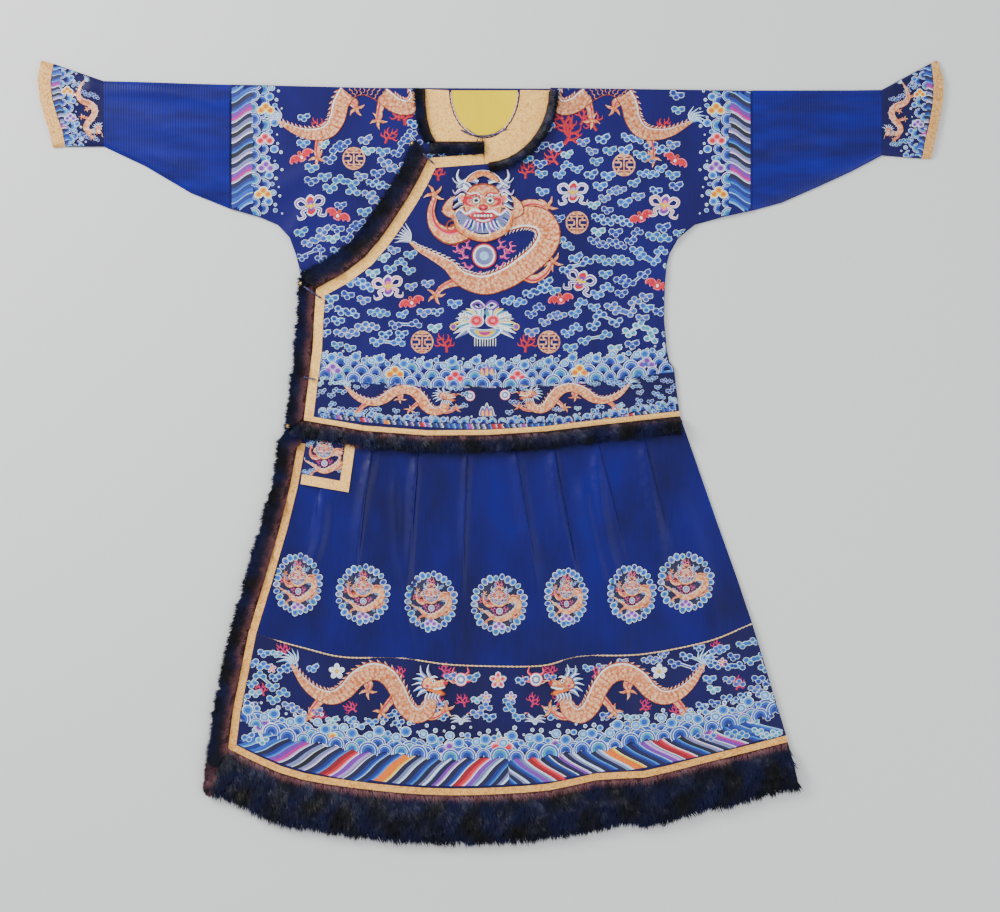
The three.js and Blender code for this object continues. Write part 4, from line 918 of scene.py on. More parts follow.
def frontalDragon(work, place, size):
    small = movedWork(work, frontal["origin"], place, size)
    tail = frontal["body"][-1]
    for side in (-1, 1):
        for dx, dy, turn in ((30, -2, -1.0), (25, 14, -0.6), (22, -18, -1.7), (42, 10, -0.9), (8, -29, -2.6)):
            px, py = frontal["pearl"]
            for twig, width in (([(0, 0), (4, 7), (0, 13), (5, 21)], 2.8), ([(4, 7), (10, 9), (11, 15)], 2.2),
                                ([(0, 13), (-7, 15), (-6, 21)], 2.0)):
                prong = turnedBy(np.array(twig), turn) * (side, 1) + (px + side * dx, py + dy)
                flame(small, prong, width, ("magenta", "pink"))
    limb(small, frontal["rightArm"], [11, 9, 7, 4])
    claws(small, (108, 467), 21, 0.9)
    limb(small, frontal["leftLeg"], [11, 9, 6, 4])
    claws(small, (-106, 296), 19, 3.6)
    limb(small, frontal["rightLeg"], [11, 9, 7, 4])
    claws(small, (119, 361), 20, 0.8)
    for i in range(7):
        turn = 1.9 + 0.26 * i
        tip = (tail[0] + 30 * math.cos(turn), tail[1] + 32 * math.sin(turn) + 8)
        mid = (tail[0] + 15 * math.cos(turn - 0.4), tail[1] + 16 * math.sin(turn - 0.4))
        ribbon(small, [tail, mid, tip], [2.6, 2.2, 0.4], "white 0 grey", 6)
    dragonBody(small, frontal["body"], frontal["bodyWidths"], -1)
    limb(small, frontal["shoulder"], [18, 19, 13, 8, 5])
    curl(small, (-75, 428), 13, 40, 1.3, 1.6, "rust", 14)
    claws(small, (-109, 490), 21, 1.9)
    disc(small, frontal["pearl"], 24, "red 0.88 white 0.72 grey 0.36 pale", 22)
    curl(small, frontal["pearl"], 17, 250, 1.3, 1.3, "pink", 16)
    at = (-15, 467)
    face = dict(small)
    origin, to, scale, turn = small["move"]
    widened = np.array((1.22, 1.1))
    face["move"] = ((origin - np.array(at)) / widened, to, scale * widened, turn)
    frontalFace(face)


# The dragon seen from the side, striding to the right.
profile = {
    "origin": (-234, -461),
    "body": [(-382, -411), (-359, -445), (-332, -467), (-303, -474), (-278, -461), (-257, -438), (-228, -424),
             (-200, -432), (-180, -459), (-165, -492), (-144, -509), (-121, -499), (-115, -472)],
    "bodyWidths": [3, 7, 11, 14, 16, 17, 18, 18, 17, 17, 16, 14, 12],
    "paws": [((-321, -474), (-340, -495), (-349, -511), 4.0), ((-248, -434), (-232, -449), (-236, -461), 4.6),
             ((-179, -468), (-198, -488), (-209, -503), 4.1), ((-136, -507), (-109, -511), (-86, -497), 0.2)],
}


def profileDragon(work, place, size, flip=1, turn=0.0):
    small = movedWork(work, profile["origin"], place, size, flip, turn)
    tail = profile["body"][0]
    for i in range(6):
        angle = 1.2 + 0.36 * i
        ribbon(small, [tail, (tail[0] + 14 * math.cos(angle - 0.5), tail[1] + 14 * math.sin(angle - 0.5)),
                       (tail[0] + 30 * math.cos(angle), tail[1] + 30 * math.sin(angle))], [2.8, 2.4, 0.4],
               "white 0 sky", 6)
    for start, knee, paw, towards in profile["paws"]:
        limb(small, [start, knee, paw], [9, 7, 4])
        claws(small, paw, 18, towards)
    dragonBody(small, profile["body"], profile["bodyWidths"], 1)
    hx, hy = (-117, -451)
    head = dict(small)
    origin, to, scale, turned = small["move"]
    head["move"] = (origin - np.array((hx, hy)), to, scale, turned)
    for i, (dx, dy, shade) in enumerate(((-26, 22, "blue"), (-33, 12, "sky"), (-35, 0, "deep"), (-32, -12, "blue"),
                                         (-25, -22, "grey"))):
        ribbon(head, [(-6, 6 - 4 * i), (dx * 0.6, dy * 0.7 + 3), (dx, dy)], [4.4, 3.8, 0.5], f"white 0 {shade}", 5,
               0.9)
    for path in ([(-4, 12), (-16, 24), (-18, 38)], [(2, 14), (-4, 28), (-2, 40)]):
        ribbon(head, path, [3.4, 3.0, 0.6], "grey 0 white", 5, 1.0)
    jaw = smoothLine([(-10, -8), (6, -14), (20, -20), (30, -17), (24, -10), (8, -5)], 5, True)
    patch(head, (8, -12), jaw, "rust 0.8 orange", 1.1)
    for i in range(5):
        ribbon(head, [(-4 + 6 * i, -15), (-8 + 6 * i, -24), (-5 + 7 * i, -32)], [2.4, 2.0, 0.4], "white 0 grey", 5,
               1.0)
    skull = smoothLine([(-16, -4), (-14, 10), (-4, 17), (8, 14), (16, 9), (26, 12), (33, 6), (30, -2), (16, -5),
                        (4, -8)], 5, True)
    patch(head, (6, 4), skull, "rust 0.88 peach", 1.3, 1.0)
    ribbon(head, [(6, -7), (18, -6), (29, -3)], [1.6, 2.0, 1.4], "white", 5, 1.9)
    disc(head, (30, 5), 4.6, "crimson 0.6 red", 9, 0.9, 0, 2.0)
    disc(head, (7, 8), 4.8, "ink 0.8 white 0.42 ink", 11, 0.9, 0, 2.1)
    disc(head, (-5, -1), 4.4, "pink 0.6 red", 9, 1.0, 0, 2.0)
    ribbon(head, [(26, 3), (36, 10), (46, 4), (54, 10)], [1.4, 1.2, 0.3], "bright", 5, 2.0)
    ribbon(head, [(1, 14), (9, 17), (15, 15)], [1.8, 1.8, 0.5], "white", 5, 2.1)


# A ruyi head in the waves: three ringed lobes and a base.
def ruyi(work, place, radius, shades):
    small = movedWork(work, (0, 0), place, radius / 12)
    for x, y in ((-7, -1), (7, -1), (0, 5)):
        disc(small, (x, y), 7.2, f"white 0.8 {shades[0]} 0.5 {shades[1]}", 12, 0.9, 0, 1.0)
    curl(small, (-7, -1), 3.4, 20, 1, 0.7, "white", 7)
    curl(small, (7, -1), 3.4, 160, -1, 0.7, "white", 7)


def pointOn(line, share):
    lengths = runAlong(line)
    return np.column_stack([np.interp(share, lengths / lengths[-1], line[:, k]) for k in (0, 1)])


# The mirror order of the slanted water stripes' hues, from the ends to the middle.
waterHues = [
    ("deep", "blue", "sky", "pale"), ("deep", "blue", "blue", "pale"), ("navy", "deep", "blue", "sky"),
    ("purple", "magenta", "lilac", "white"), ("navy", "grey", "grey", "white"), ("ink", "grey", "lilac", "white"),
    ("navy", "deep", "blue", "sky"), ("crimson", "red", "pink", "white"), ("purple", "lilac", "grey", "white"),
    ("navy", "deep", "blue", "pale"), ("navy", "deep", "blue", "sky"), ("orange", "orange", "yellow", "cream"),
    ("navy", "grey", "pale", "white"), ("navy", "deep", "blue", "sky"), ("navy", "grey", "white", "pale"),
    ("navy", "purple", "lilac", "white"), ("navy", "deep", "blue", "white"), ("crimson", "red", "pink", "white"),
    ("purple", "grey", "pale", "white"), ("navy", "deep", "blue", "sky"), ("navy", "grey", "white", "pale"),
    ("navy", "deep", "blue", "sky"),
]
stripeShares = (0, 0.46, 0.74, 0.9, 1)  # where each stripe's shades meet
stripeRows = 13


# Slanted stripes of graded hues, leaning to the middle from both ends.
def waterStripes(work, at, water):
    count, top, middle = water["stripes"], water["stripeTop"], water["middle"]
    rows = np.linspace(0, top, stripeRows)
    for i in range(count):
        hues = waterHues[(i if i < count / 2 else count - 1 - i) % len(waterHues)]
        for band, hue in enumerate(hues):
            edges = []
            for side in (0, 1):
                along = (i + stripeShares[band + side]) / count
                lean = water["lean"] if along < middle or (along == middle and side) else -water["lean"]
                along = along + lean * rows + 0.12 / count * np.sin(rows / top * 6.3)
                edges.append(np.minimum(along, middle) if i < count * middle else np.maximum(along, middle))
            points = np.vstack([at(edges[0], rows), at(edges[1], rows)])
            faces = [[j, j + stripeRows, j + stripeRows + 1, j + 1] for j in range(stripeRows - 1)]
            run = np.concatenate([rows, rows]) * 60
            lifts = np.full(2 * stripeRows, 0.35 + 0.1 * (band % 2))
            addShape(work, points, lifts, hue, run, faces)


# Rows of ringed wave heads, each row over the one behind it.
def waveHeads(work, at, water):
    heads = water["heads"]
    levels = np.linspace(1.0 - 0.5 * water["foam"], water["stripeTop"] + 0.02, heads["rows"])
    for row, level in enumerate(levels):
        work["layer"][0] += 3
        number = heads["count"] + row % 2
        for k in range(number):
            along = (k + (0.5 if row % 2 == 0 else 0.0)) / heads["count"]
            centre = at(along, level + 0.03 * math.sin(5 * k + row))[0]
            upward = at(along, 1.0)[0] - at(along, 0.0)[0]
            facing = math.degrees(math.atan2(upward[1], upward[0]))
            radius = heads["radius"] * (0.92 + 0.16 * math.sin(2.3 * k + row))
            hue = ("deep", "blue") if (k + row) % 3 else ("blue", "teal")
            outline = arc(centre, radius, facing - 112, facing + 112, 12)
            patch(work, centre, outline, f"white 0.92 blue 0.74 white 0.68 {hue[1]} 0.4 {hue[0]}", 0.5, 0.3, False)


# Curling froth and drops along the crests.
def foam(work, at, water):
    heads = water["heads"]
    work["layer"][0] += 4
    for k in range(water["curls"]):
        along = (k + 0.5) / water["curls"]
        level = 1.0 + 0.22 * water["foam"] * math.sin(3.7 * k)
        centre = at(along, level)[0]
        size = heads["radius"] * (0.5 + 0.16 * math.sin(2.1 * k))
        disc(work, centre, size, [(0.86, 1, "white"), (0.5, 0.86, "sky"), (0, 0.5, "blue" if k % 3 else "pale")],
             10, 0.9)
        curl(work, centre, size * 0.6, 90 * k, 1.0, 0.8, "white", 7)
        disc(work, at(along + 0.35 / water["curls"], level + 0.16)[0], size * 0.42, "white 0.6 sky", 8)


# Standing water: slanted stripes from the base line, then rows of wave heads up to the crest line.
def standingWater(work, base, crest, water):
    base, crest = smoothLine(base, 12), smoothLine(crest, 12)
    work["layer"][0] = 0

    def at(along, up):
        along = np.clip(np.atleast_1d(along), 0, 1)
        foot, head = pointOn(base, along), pointOn(crest, along)
        return foot + (head - foot) * np.reshape(up, (-1, 1))

    waterStripes(work, at, water)
    waveHeads(work, at, water)
    foam(work, at, water)
    for along, up, radius, shades in water["ruyi"]:
        ruyi(work, at(along, up)[0], radius, shades)


# Peaks of the earth mountain, nested in bands of colour.
def mountain(work, place, size):
    small = movedWork(work, (0, 0), place, size)
    small["layer"] = [14]
    for x, tall in ((-9, 15), (9, 15), (0, 23)):
        for k, (share, shade) in enumerate(((1, "white"), (0.84, "teal"), (0.64, "purple"), (0.44, "pink"),
                                            (0.26, "yellow"))):
            outline = smoothLine([(x - 8 * share, -8), (x - 5 * share, tall * 0.45 * share), (x, tall * share - 2),
                                  (x + 5 * share, tall * 0.45 * share), (x + 8 * share, -8)], 5, True)
            patch(small, (x, 0), outline, shade, 0.5 + 0.1 * k, 0)


# Makes the pieces: every point is let down onto the panel under it, and hidden where a band covers it.
def sewOn(work):
    for kind, sewn in work["kinds"].items():
        if not sewn["count"]:
            continue
        flat = np.vstack(sewn["points"]) * mm
        lift = np.concatenate(sewn["lift"]) * mm
        height = np.zeros(len(flat))
        for i, (x, y) in enumerate(flat):
            panel = surfaceHeight(panelTree, x, y, None)
            if panel is None:
                height[i] = -1
                continue
            bare = surfaceHeight(allTree, x, y, panel) < panel + stitching["cover"] * mm
            height[i] = panel + (lift[i] if bare else stitching["hidden"] * mm)
        on = height > 0
        mesh = bpy.data.meshes.new(work["name"] + "_" + kind)
        faces = [f for f in sewn["faces"] if all(on[i] for i in f)]
        used = sorted({i for f in faces for i in f})
        fresh = {old: new for new, old in enumerate(used)}
        mesh.from_pydata(np.column_stack([flat, height])[used].tolist(), [], [[fresh[i] for i in f] for f in faces])
        colourAttribute(mesh, np.vstack(sewn["shade"])[used])
        layer = mesh.attributes.new("stitch", "FLOAT", "POINT")
        layer.data.foreach_set("value", np.concatenate(sewn["run"])[used])
        shape = bmesh.new()
        shape.from_mesh(mesh)
        turned = [f for f in shape.faces if f.normal.z < 0]
        bmesh.ops.reverse_faces(shape, faces=turned)
        shape.to_mesh(mesh)
        shape.free()
        addPiece(work["name"] + "_" + kind, mesh, "gold thread" if kind == "gold" else "floss silk")
        print(work["name"], kind, sum(len(f) - 2 for f in faces))


# Room in mm round a cloud's head, to other motifs and to other heads.
cloudRoom = {"aside": (13, 9), "apart": (33, 24), "shift": (14, 8)}


# Clouds fill the ground wherever no other motif lies, packed loosely head beside head.
def fillWithClouds(work, box, spacing, size, inside, taken):
    low, high = box
    (asideX, asideY), (apartX, apartY), (shiftX, shiftY) = cloudRoom.values()
    spots = [(x + dice.uniform(-shiftX, shiftX), y + dice.uniform(-shiftY, shiftY))
             for y in np.arange(low[1], high[1], spacing[1]) for x in np.arange(low[0], high[0], spacing[0])]
    dice.shuffle(spots)
    heads = []
    for spot in spots:
        scale, turn = size * dice.uniform(0.88, 1.1), dice.uniform(-0.3, 0.3)
        cos, sin = math.cos(turn) * scale, math.sin(turn) * scale
        kept, placed = [], []
        for x, y in dice.choice(cloudShapes):
            at = (spot[0] + x * cos - y * sin, spot[1] + x * sin + y * cos)
            clear = all(((at[0] - cx) / (rx + asideX * size)) ** 2 + ((at[1] - cy) / (ry + asideY * size)) ** 2 > 1
                        for cx, cy, rx, ry in taken)
            apart = all(((at[0] - hx) / apartX) ** 2 + ((at[1] - hy) / apartY) ** 2 > size ** 2 for hx, hy in heads)
            if clear and apart and inside(*at):
                kept.append((x, y))
                placed.append(at)
        if kept:
            cloud(work, spot, scale, turn, dice.choice(cloudShades), kept)
            heads += placed


bodice = {
    "frets": [(-263, 559), (255, 547), (165, 436), (-132, 207), (111, 207)],
    "bats": [((-363, 561), 0.5), ((-294, 449), -0.4), ((288, 445), 0.4), ((134, 288), 0.2), ((319, 315), -0.3),
             ((353, 555), -0.5), ((-152, 282), 0.3)],
    "emblems": [((-346, 467), ("red", "purple")), ((157, 493), ("red", "lilac")), ((332, 468), ("purple", "pink")),
                ((171, 323), ("red", "purple")), ((-198, 313), ("purple", "pink"))],
    "corals": [((150, 604), 1.5, -0.5, 1), ((196, 628), 1.2, 0.4, -1), ((-170, 640), 1.3, 0.3, 1),
               ((-196, 600), 1.0, -0.5, -1), ((120, 560), 1.1, 0.6, -1), ((-330, 618), 1.0, 0.2, 1),
               ((330, 618), 1.0, -0.2, -1), ((-104, 530), 1.0, 0.2, 1), ((69, 534), 1.0, -0.2, -1),
               ((142, 624), 1.4, 0.3, 1), ((-171, 649), 1.3, -0.3, -1), ((-88, 202), 1.1, 0.2, 1),
               ((69, 202), 1.1, -0.2, -1), ((177, 637), 1.1, -0.4, 1)],
    "taken": [(-13, 411, 134, 122), (-172, 413, 20, 22), (-108, 538, 22, 18), (-104, 294, 22, 18),
              (114, 350, 20, 18), (114, 468, 20, 18), (-13, 545, 58, 26), (-12, 240, 80, 44), (-257, 672, 104, 62),
              (234, 670, 112, 62), (-474, 557, 104, 400), (470, 557, 104, 400)],
    "waterTop": 188,
}
bodiceTaken = list(bodice["taken"])
bodiceTaken += [(x, y, 23, 23) for x, y in bodice["frets"]]
bodiceTaken += [(x, y, 25, 13) for (x, y), _ in bodice["bats"]]
bodiceTaken += [(x, y, 30, 27) for (x, y), _ in bodice["emblems"]]
bodiceTaken += [(x, y, 15, 17) for (x, y), _, _, _ in bodice["corals"]]

clouds = newWork("bodice_clouds")
fillWithClouds(clouds, ((-440, 196), (444, 695)), (25, 14), 0.76, lambda x, y: y > bodice["waterTop"] + 8,
               bodiceTaken)
for place, shades in bodice["emblems"]:
    emblem(clouds, place, 1.05, dice.uniform(-0.4, 0.4), shades)
for place, turn in bodice["bats"]:
    bat(clouds, place, 1.05, turn)
for place in bodice["frets"]:
    fret(clouds, place, 22)
for place, size, turn, side in bodice["corals"]:
    coral(clouds, place, size, turn, ("red", "crimson"), side)
sewOn(clouds)

beasts = newWork("bodice_dragons")
frontalDragon(beasts, frontal["origin"], 1.0)
for x, side in ((-257.28, 1), (234.24, -1)):
    profileDragon(beasts, (x, 656.64), 0.98, side, 0.5 * side)
vaseAt = (-12, 240)
vase = movedWork(beasts, (0, 0), vaseAt, 1.0)
for side in (-1, 1):
    for i in range(11):
        angle = -0.55 + 0.19 * i
        reach = 66 - 2.2 * i
        tip = (side * reach * math.cos(angle), 2 + reach * 0.82 * math.sin(angle))
        shade = ("grey", "white", "teal", "yellow")[i % 4]
        ribbon(vase, [(side * 12, 4), (tip[0] * 0.6, tip[1] * 0.6 + 5), tip], [5.0, 5.6, 0.6],
               f"white -0.3 {shade}", 5)
    flower(beasts, (vaseAt[0] + side * 40, vaseAt[1] + 14), 11, ("white", "grey"), 6)
    disc(beasts, (vaseAt[0] + side * 60, vaseAt[1] - 4), 7, "yellow 0.7 purple", 10)
vase = movedWork(beasts, (0, 0), vaseAt, 1.0)
vase["layer"][0] = 26
for side in (-1, 1):
    disc(vase, (side * 16, 8), 15, "white 0.84 pink 0.62 red 0.3 pink", 14, 0.85)
    ribbon(vase, [(0, 34), (side * 12, 44), (side * 24, 38), (side * 14, 30), (0, 34)], [2.6, 3.4, 3.4, 3.0, 2.0],
           "white -0.3 purple", 4)
bowl = smoothLine([(-34, -6), (-30, -16), (-16, -26), (0, -28), (16, -26), (30, -16), (34, -6), (0, -9)], 6, True)
patch(vase, (0, -16), bowl, "white 0.84 sky 0.6 yellow 0.34 magenta", 0.5, 0.8)
for i in range(9):
    ribbon(vase, [(-20 + 5 * i, -26), (-20 + 5 * i, -41)], [1.9, 1.5], "ink 0 white", 6)
sewOn(beasts)

bodiceWater = newWork("bodice_water")
standingWater(bodiceWater, [(-332, 138), (-175, 123), (-8, 119), (171, 127), (351, 150)],
              [(-328, 182), (-175, 169), (-8, 167), (171, 173), (348, 192)],
              {"stripes": 12, "stripeTop": 0.1, "lean": 0.01, "middle": 0.5, "foam": 0.5,
               "heads": {"rows": 3, "count": 25, "radius": 15}, "curls": 44,
               "ruyi": [(0.04, 0.4, 16, ("lilac", "purple")), (0.215, 0.5, 16, ("yellow", "orange")),
                        (0.385, 0.4, 16, ("pink", "red")), (0.56, 0.4, 16, ("pink", "red")),
                        (0.735, 0.5, 16, ("yellow", "orange")), (0.925, 0.5, 16, ("lilac", "purple"))]})
mountain(bodiceWater, (-8, 152), 1.05)
standingWater(bodiceWater, [(-332, 63), (-175, 48), (-8, 40), (171, 46), (355, 77)],
              [(-332, 79), (-175, 63), (-8, 60), (171, 65), (355, 94)],
              {"stripes": 60, "stripeTop": 0.5, "lean": 0.0, "middle": 0.5, "foam": 0.6,
               "heads": {"rows": 1, "count": 38, "radius": 9}, "curls": 30, "ruyi": []})
mountain(bodiceWater, (-8, 73), 0.85)
for place, side in (((-172.8, 97.92), 1), ((159.36, 101.76), -1)):
    profileDragon(bodiceWater, place, (0.72, 0.5), side)
for place in ((-40.32, 103.68), (26.88, 105.6)):
    pearl(bodiceWater, place, 10)
fillWithClouds(bodiceWater, ((-319, 81), (348, 132)), (26, 12), 0.42, lambda x, y: abs(x + 6) > 40,
               [(-173, 100, 122, 18), (159, 104, 122, 18)])
sewOn(bodiceWater)

sleeveWater = newWork("sleeve_water")
for side in (-1, 1):
    base, crest = ([(side * x, y) for y in (702.72, 633.6, 556.8, 451.2)] for x in (501.12, 420.48))
    standingWater(sleeveWater, base, crest,
                  {"stripes": 13, "stripeTop": 0.56, "lean": -0.16, "middle": 9.0, "foam": 0.4,
                   "heads": {"rows": 2, "count": 11, "radius": 13}, "curls": 15,
                   "ruyi": [(0.2, 0.86, 15, ("yellow", "orange")), (0.43, 0.84, 15, ("pink", "red")),
                            (0.64, 0.86, 15, ("lilac", "purple")), (0.84, 0.8, 15, ("yellow", "orange"))]})
sewOn(sleeveWater)

borderGround = newWork("border_clouds")
fillWithClouds(borderGround, ((-463, -547), (526, -349)), (26, 15), 0.72,
               lambda x, y: surfaceHeight(panelTree, x * mm, y * mm, 0) > 0
               and y < np.interp(x, [-449, -282, 75, 501], [-353, -397, -413, -332]) - 24,
               [(-234, -461, 156, 40), (261, -461, 156, 40), (13, -445, 36, 34), (-58, -480, 20, 50),
                (84, -480, 20, 50), (13, -672, 640, 150)])
borderFlowers = [
    ((-295.68, -424.32), ("white", "pale"), 15), ((322.56, -424.32), ("white", "pale"), 15),
    ((13.44, -441.6), ("pink", "red"), 16), ((-9.6, -474.24), ("lilac", "purple"), 11),
    ((38.4, -474.24), ("lilac", "purple"), 11), ((-420.48, -418.56), ("pink", "magenta"), 9),
    ((443.52, -407.04), ("pink", "magenta"), 9),
]
for place, shades, size in borderFlowers:
    borderGround["layer"][0] = 0
    flower(borderGround, place, size, shades)
borderCorals = [
    ((-174.72, -428.16), 0.8), ((-88.32, -424.32), -0.5), ((-53.76, -481.92), 0.3), ((115.2, -424.32), 0.5),
    ((80.64, -481.92), -0.3), ((201.6, -428.16), -0.8), ((-328.32, -510.72), 0.2), ((355.2, -503.04), -0.2),
    ((-439.68, -460.8), 0.4), ((474.24, -449.28), -0.4), ((-266.88, -495.36), 0.9), ((293.76, -491.52), -0.9),
    ((-103.68, -480), 0.4), ((130.56, -480), -0.4), ((-397.44, -384), 0.5), ((432, -380.16), -0.5),
]
for place, turn in borderCorals:
    coral(borderGround, place, 0.8, turn, ("red", "magenta"))
for x, side in ((-57.6, 1), (84.48, -1)):
    crane = movedWork(borderGround, (0, 0), (x, -520.32), 0.8, side)
    for tip in ((-22, 14), (-26, 6), (-24, -3), (20, 14), (24, 7), (25, 0)):
        ribbon(crane, [(0, 0), (tip[0] * 0.5, tip[1] * 0.7 + 3), tip], [3.4, 3.2, 0.5], "white 0 grey", 6)
    ribbon(crane, [(2, 0), (10, 10), (18, 20), (26, 20)], [2.6, 1.6, 1.4, 0.5], "white", 5)
    disc(crane, (18, 20), 2.4, "red", 7)
    disc(crane, (0, 0), 6, "white 0.7 pale", 9, 1.4)
sewOn(borderGround)

borderBeasts = newWork("border_dragons")
profileDragon(borderBeasts, profile["origin"], 1.0)
profileDragon(borderBeasts, (261, -461), 1.0, -1)
for cx, cy in ((-57.6, -439.68), (86.4, -439.68)):
    pearl(borderBeasts, (cx, cy), 13)
    for side in (-1, 1):
        flame(borderBeasts, [(cx + side * 8, cy + 8), (cx + side * 15, cy + 14), (cx + side * 12, cy + 24)], 2.6)
        flame(borderBeasts, [(cx + side * 10, cy - 4), (cx + side * 20, cy - 2), (cx + side * 26, cy + 8)], 2.4)
sewOn(borderBeasts)

borderWater = newWork("border_water")
standingWater(borderWater, [(-505, -561), (-371, -616), (-205, -647), (-79, -655), (96, -647), (286, -620),
                            (440, -586), (578, -545)],
              [(-490, -488), (-371, -522), (-205, -543), (-79, -553), (96, -553), (286, -526), (440, -503),
               (551, -467)],
              {"stripes": 44, "stripeTop": 0.64, "lean": 0.098, "middle": 0.5, "foam": 0.35,
               "heads": {"rows": 3, "count": 34, "radius": 18}, "curls": 62,
               "ruyi": [(0.06, 0.72, 18, ("lilac", "purple")), (0.185, 0.74, 18, ("yellow", "orange")),
                        (0.30, 0.74, 18, ("sky", "deep")), (0.395, 0.78, 18, ("lilac", "purple")),
                        (0.489, 0.86, 20, ("pink", "red")), (0.585, 0.78, 18, ("lilac", "purple")),
                        (0.68, 0.74, 18, ("sky", "deep")), (0.795, 0.74, 18, ("yellow", "orange")),
                        (0.93, 0.72, 18, ("lilac", "purple"))]})
mountain(borderWater, (15, -566), 1.3)
sewOn(borderWater)

# Centre and half sizes of each roundel.
roundels = [
    ((-370.56, -257.28), 44.16, 57.6), ((-245.76, -276.48), 49.92, 55.68), ((-115.2, -289.92), 48, 55.68),
    ((15.36, -295.68), 51.84, 55.68), ((144, -282.24), 38.4, 53.76), ((269.76, -275.52), 44.16, 53.76),
    ((373.44, -253.44), 51.84, 55.68),
]
badges = newWork("roundels")
for centre, wide, high in roundels:
    badges["layer"][0] = 0
    disc(badges, centre, wide, "navy", 26, high / wide, 0, 0.3, 0.1)
    for i in range(26):
        angle = 2 * math.pi * i / 26
        inward = 0.91667 + 0.03125 * math.sin(2.4 * i)
        spot = (centre[0] + wide * inward * math.cos(angle), centre[1] + high * inward * math.sin(angle))
        shades = cloudShades[(i * 5) % 4]
        disc(badges, spot, 7 + math.sin(1.7 * i), f"white 0.84 {shades[0]} 0.5 {shades[1]}", 9, 0.8, angle)
    for i in range(7):
        angle = 0.9 * i
        cloud(badges, (centre[0] + wide * 0.59896 * math.cos(angle), centre[1] + high * 0.59896 * math.sin(angle)),
              0.26, angle, ("sky", "blue"), cloudShapes[3])
    badges["layer"][0] = 30
    for side in (-1, 1):
        coral(badges, (centre[0] + side * wide * 0.57292, centre[1] + 6), 0.5, -0.4 * side, ("red", "pink"))
    coral(badges, (centre[0], centre[1] + high * 0.625), 0.55, 0.0, ("pink", "red"))
    ruyi(badges, (centre[0], centre[1] - high * 0.75521), 11, ("lilac", "purple"))
    frontalDragon(badges, (centre[0] + 1, centre[1] - 2), (0.275 * wide / 48, 0.29 * high / 55.68))
sewOn(badges)

patchWork = newWork("patch_dragon")
for place, turn in (((-349, 12), 0.2), ((-286, 15), -0.3), ((-351, -42), 0.1), ((-288, -38), 0.0), ((-317, 19), 0)):
    cloud(patchWork, place, 0.34, turn, ("sky", "blue"), cloudShapes[0])
frontalDragon(patchWork, (-319, -15), 0.27)
sewOn(patchWork)

# Each cuff: its outer edge, its dragon, and its clouds with the numbers of their shades and shapes.
cuffs = {
    -1: {"edge": [(-840.96, 741.12), (-844.8, 691.2), (-837.12, 633.6), (-821.76, 581.76)], "dragon": (-774, 653),
         "clouds": [((-794.88, 702.72), 1, 0), ((-769.92, 681.6), 2, 2), ((-792.96, 604.8), 2, 0),
                    ((-769.92, 600.96), 2, 2)]},
    1: {"edge": [(844.8, 741.12), (854.4, 691.2), (850.56, 629.76), (831.36, 562.56)], "dragon": (783, 649),
        "clouds": [((804.48, 695.04), 2, 1), ((781.44, 675.84), 2, 2), ((798.72, 593.28), 3, 0),
                   ((783.36, 589.44), 3, 2)]},
}
cuffWork = newWork("cuff_work")
for side in (-1, 1):
    base = cuffs[side]["edge"]
    crest = [(x - side * 40.32, y - 5.76) for x, y in base]
    standingWater(cuffWork, base, crest,
                  {"stripes": 14, "stripeTop": 0.5, "lean": -0.05, "middle": 9.0, "foam": 0.4,
                   "heads": {"rows": 2, "count": 9, "radius": 9}, "curls": 11,
                   "ruyi": [(0.3, 0.8, 10, ("yellow", "orange")), (0.62, 0.8, 10, ("lilac", "purple"))]})
    profileDragon(cuffWork, cuffs[side]["dragon"], 0.36, -side, 1.15 * side)
    for place, shades, shape in cuffs[side]["clouds"]:
        cloud(cuffWork, place, 0.36, 0.3 * side, cloudShades[shades], cloudShapes[shape])
sewOn(cuffWork)
print("embroidery sewn")

buttons = {
    "collar_button": {"place": (-21, 593, 14.9), "radius": 5.0},
    "overlap_button": {"place": (-150, 587, 10.3), "radius": 5.0},
    "armpit_button": {"place": (-363, 319, 9.1), "radius": 5.0},
    "waist_button": {"place": (-388, 46, 10.4), "radius": 5.0},
}
neckArc = [(-12.5 - 64.5 * math.cos(t), 690 - 89 * math.sin(t)) for t in np.linspace(0.04, math.pi - 0.04, 24)]
cords = {
    "border_cord": {"radius": 1.5, "finish": "gold cord", "lift": 1.2, "path": [
        (-450, -354), (-361, -379), (-282, -397), (-177, -399), (-67, -412), (90, -414), (170, -396), (293, -391),
        (415, -367), (501, -333)]},
    "neck_cord": {"radius": 1.7, "finish": "pale cord", "lift": 1.6, "path": neckArc},
    "overlap_loop": {"radius": 1.8, "finish": "dark cord", "path": [
        (-145, 582.5, 9.5), (-140.5, 577.5, 17.5), (-131, 568, 21.5), (-121, 558.5, 19), (-110, 549, 10)]},
    "armpit_loop": {"radius": 1.8, "finish": "dark cord", "path": [
        (-358, 313, 17), (-349, 307, 21.5), (-339, 300, 18.5), (-331, 294.5, 13), (-325, 291, 10.2)]},
    "waist_loop": {"radius": 1.8, "finish": "dark cord", "path": [
        (-358, 140, 16.5), (-350, 137.5, 15.8), (-341, 136, 11.6), (-336, 135.5, 10.7)]},
    "collar_loop": {"radius": 1.9, "finish": "dark cord", "lift": 3.4, "path": [
        (-57, 613), (-44, 607), (-29, 603), (-12, 602), (4, 605), (18, 609), (30, 616)]},
}
cordStep = 1.6


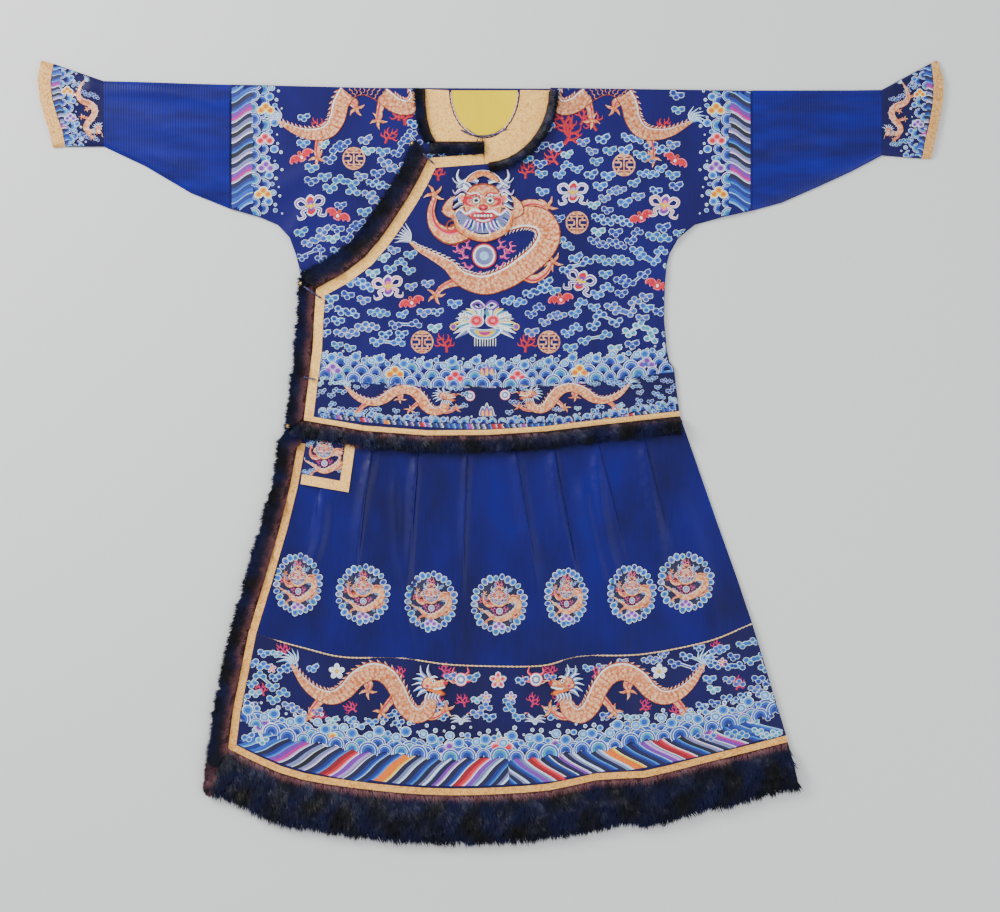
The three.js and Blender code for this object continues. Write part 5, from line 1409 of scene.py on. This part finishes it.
# A cord of two strands twisted about its line.
def pliedCord(name, cord):
    flat = smoothLine([p[:2] for p in cord["path"]], cordStep)
    if len(cord["path"][0]) == 3:
        heights = spread([p[2] for p in cord["path"]], len(flat))
    else:
        heights = np.array([surfaceHeight(allTree, x * mm, y * mm, 0.006) / mm for x, y in flat])
        heights = np.convolve(np.pad(heights, 6, "edge"), np.ones(13) / 13, "valid") + cord["lift"]
    line = np.column_stack([flat, heights])
    heading = headingsOf(line)
    aside = np.cross(heading, (0, 0, 1))
    aside /= np.linalg.norm(aside, axis=1, keepdims=True)
    above = np.cross(aside, heading)
    points, faces, sides = [], [], 6
    twist = np.arange(len(line)) * cordStep / (cord["radius"] * 1.7)
    for strand in (0, math.pi):
        centre = line + 0.48 * cord["radius"] * (np.cos(twist + strand)[:, None] * aside
                                                 + np.sin(twist + strand)[:, None] * above)
        start = len(points)
        for side in range(sides):
            angle = 2 * math.pi * side / sides
            outward = math.cos(angle) * aside + math.sin(angle) * above
            points.extend((centre + 0.56 * cord["radius"] * outward).tolist())
        count = len(line)
        for side in range(sides):
            here, beside = start + side * count, start + (side + 1) % sides * count
            faces += [[here + i, beside + i, beside + i + 1, here + i + 1] for i in range(count - 1)]
        for end in (0, count - 1):
            faces.append([start + side * count + end for side in range(sides)])
    mesh = bpy.data.meshes.new(name)
    mesh.from_pydata((np.array(points) * mm).tolist(), [], faces)
    mesh.shade_smooth()
    piece = addPiece(name + "_twisted", mesh, cord["finish"])
    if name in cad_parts:
        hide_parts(name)


# A cast bead button: a fluted ball with the cord tied under it.
def beadButton(name, button):
    x, y, z = button["place"]
    shape = bmesh.new()
    bmesh.ops.create_uvsphere(shape, u_segments=36, v_segments=18, radius=button["radius"] * mm)
    for vertex in shape.verts:
        angle = math.atan2(vertex.co.y, vertex.co.x)
        flat = math.hypot(vertex.co.x, vertex.co.y)
        vertex.co *= 1 - 0.05 * (0.5 + 0.5 * math.cos(9 * angle)) * flat / (button["radius"] * mm)
        vertex.co += Vector((x, y, z)) * mm
    piece = addPiece(name + "_cast", meshOf(shape, name), "gilt brass")
    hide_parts(name)
    knot = {"radius": 1.3, "finish": "dark cord",
            "path": [(x + 5.2 * math.cos(a), y + 5.2 * math.sin(a), z - 2.6) for a in np.linspace(0, 6.2, 12)]}
    pliedCord(name + "_knot", knot)


for name, cord in cords.items():
    pliedCord(name, cord)
for name, button in buttons.items():
    beadButton(name, button)
print("cords and buttons fastened")

studio = {
    "floor": "#dcdcda", "sky": "#eef1f6", "skyStrength": 1.1,
    "softboxes": {"key softbox": {"place": (-2.7, 2.0, 2.0), "size": 1.5, "power": 165.0},
                  "fill softbox": {"place": (2.6, -1.2, 2.6), "size": 2.4, "power": 40.0}},
}
floorMesh = bpy.data.meshes.new("floor")
floorMesh.from_pydata([(-40, -40, 0), (40, -40, 0), (40, 40, 0), (-40, 40, 0)], [], [(0, 1, 2, 3)])
floor = bpy.data.objects.new("floor", floorMesh)
bpy.context.scene.collection.objects.link(floor)
paint, _, paintShader, _ = newMaterial("matt pale paint", Roughness=0.9)
paintShader.inputs["Base Color"].default_value = toLinear(studio["floor"])
floorMesh.materials.append(paint)

for name, softbox in studio["softboxes"].items():
    light = bpy.data.lights.new(name, "AREA")
    light.shape = "RECTANGLE"
    light.size, light.size_y = softbox["size"], softbox["size"]
    light.energy = softbox["power"]
    box = bpy.data.objects.new(name, light)
    box.location = softbox["place"]
    box.rotation_euler = (-Vector(softbox["place"])).to_track_quat("-Z", "Y").to_euler()
    bpy.context.scene.collection.objects.link(box)
world = bpy.data.worlds.new("studio")
world.use_nodes = True
world.node_tree.nodes["Background"].inputs["Color"].default_value = toLinear(studio["sky"])
world.node_tree.nodes["Background"].inputs["Strength"].default_value = studio["skyStrength"]
bpy.context.scene.world = world
print("floor and light set")
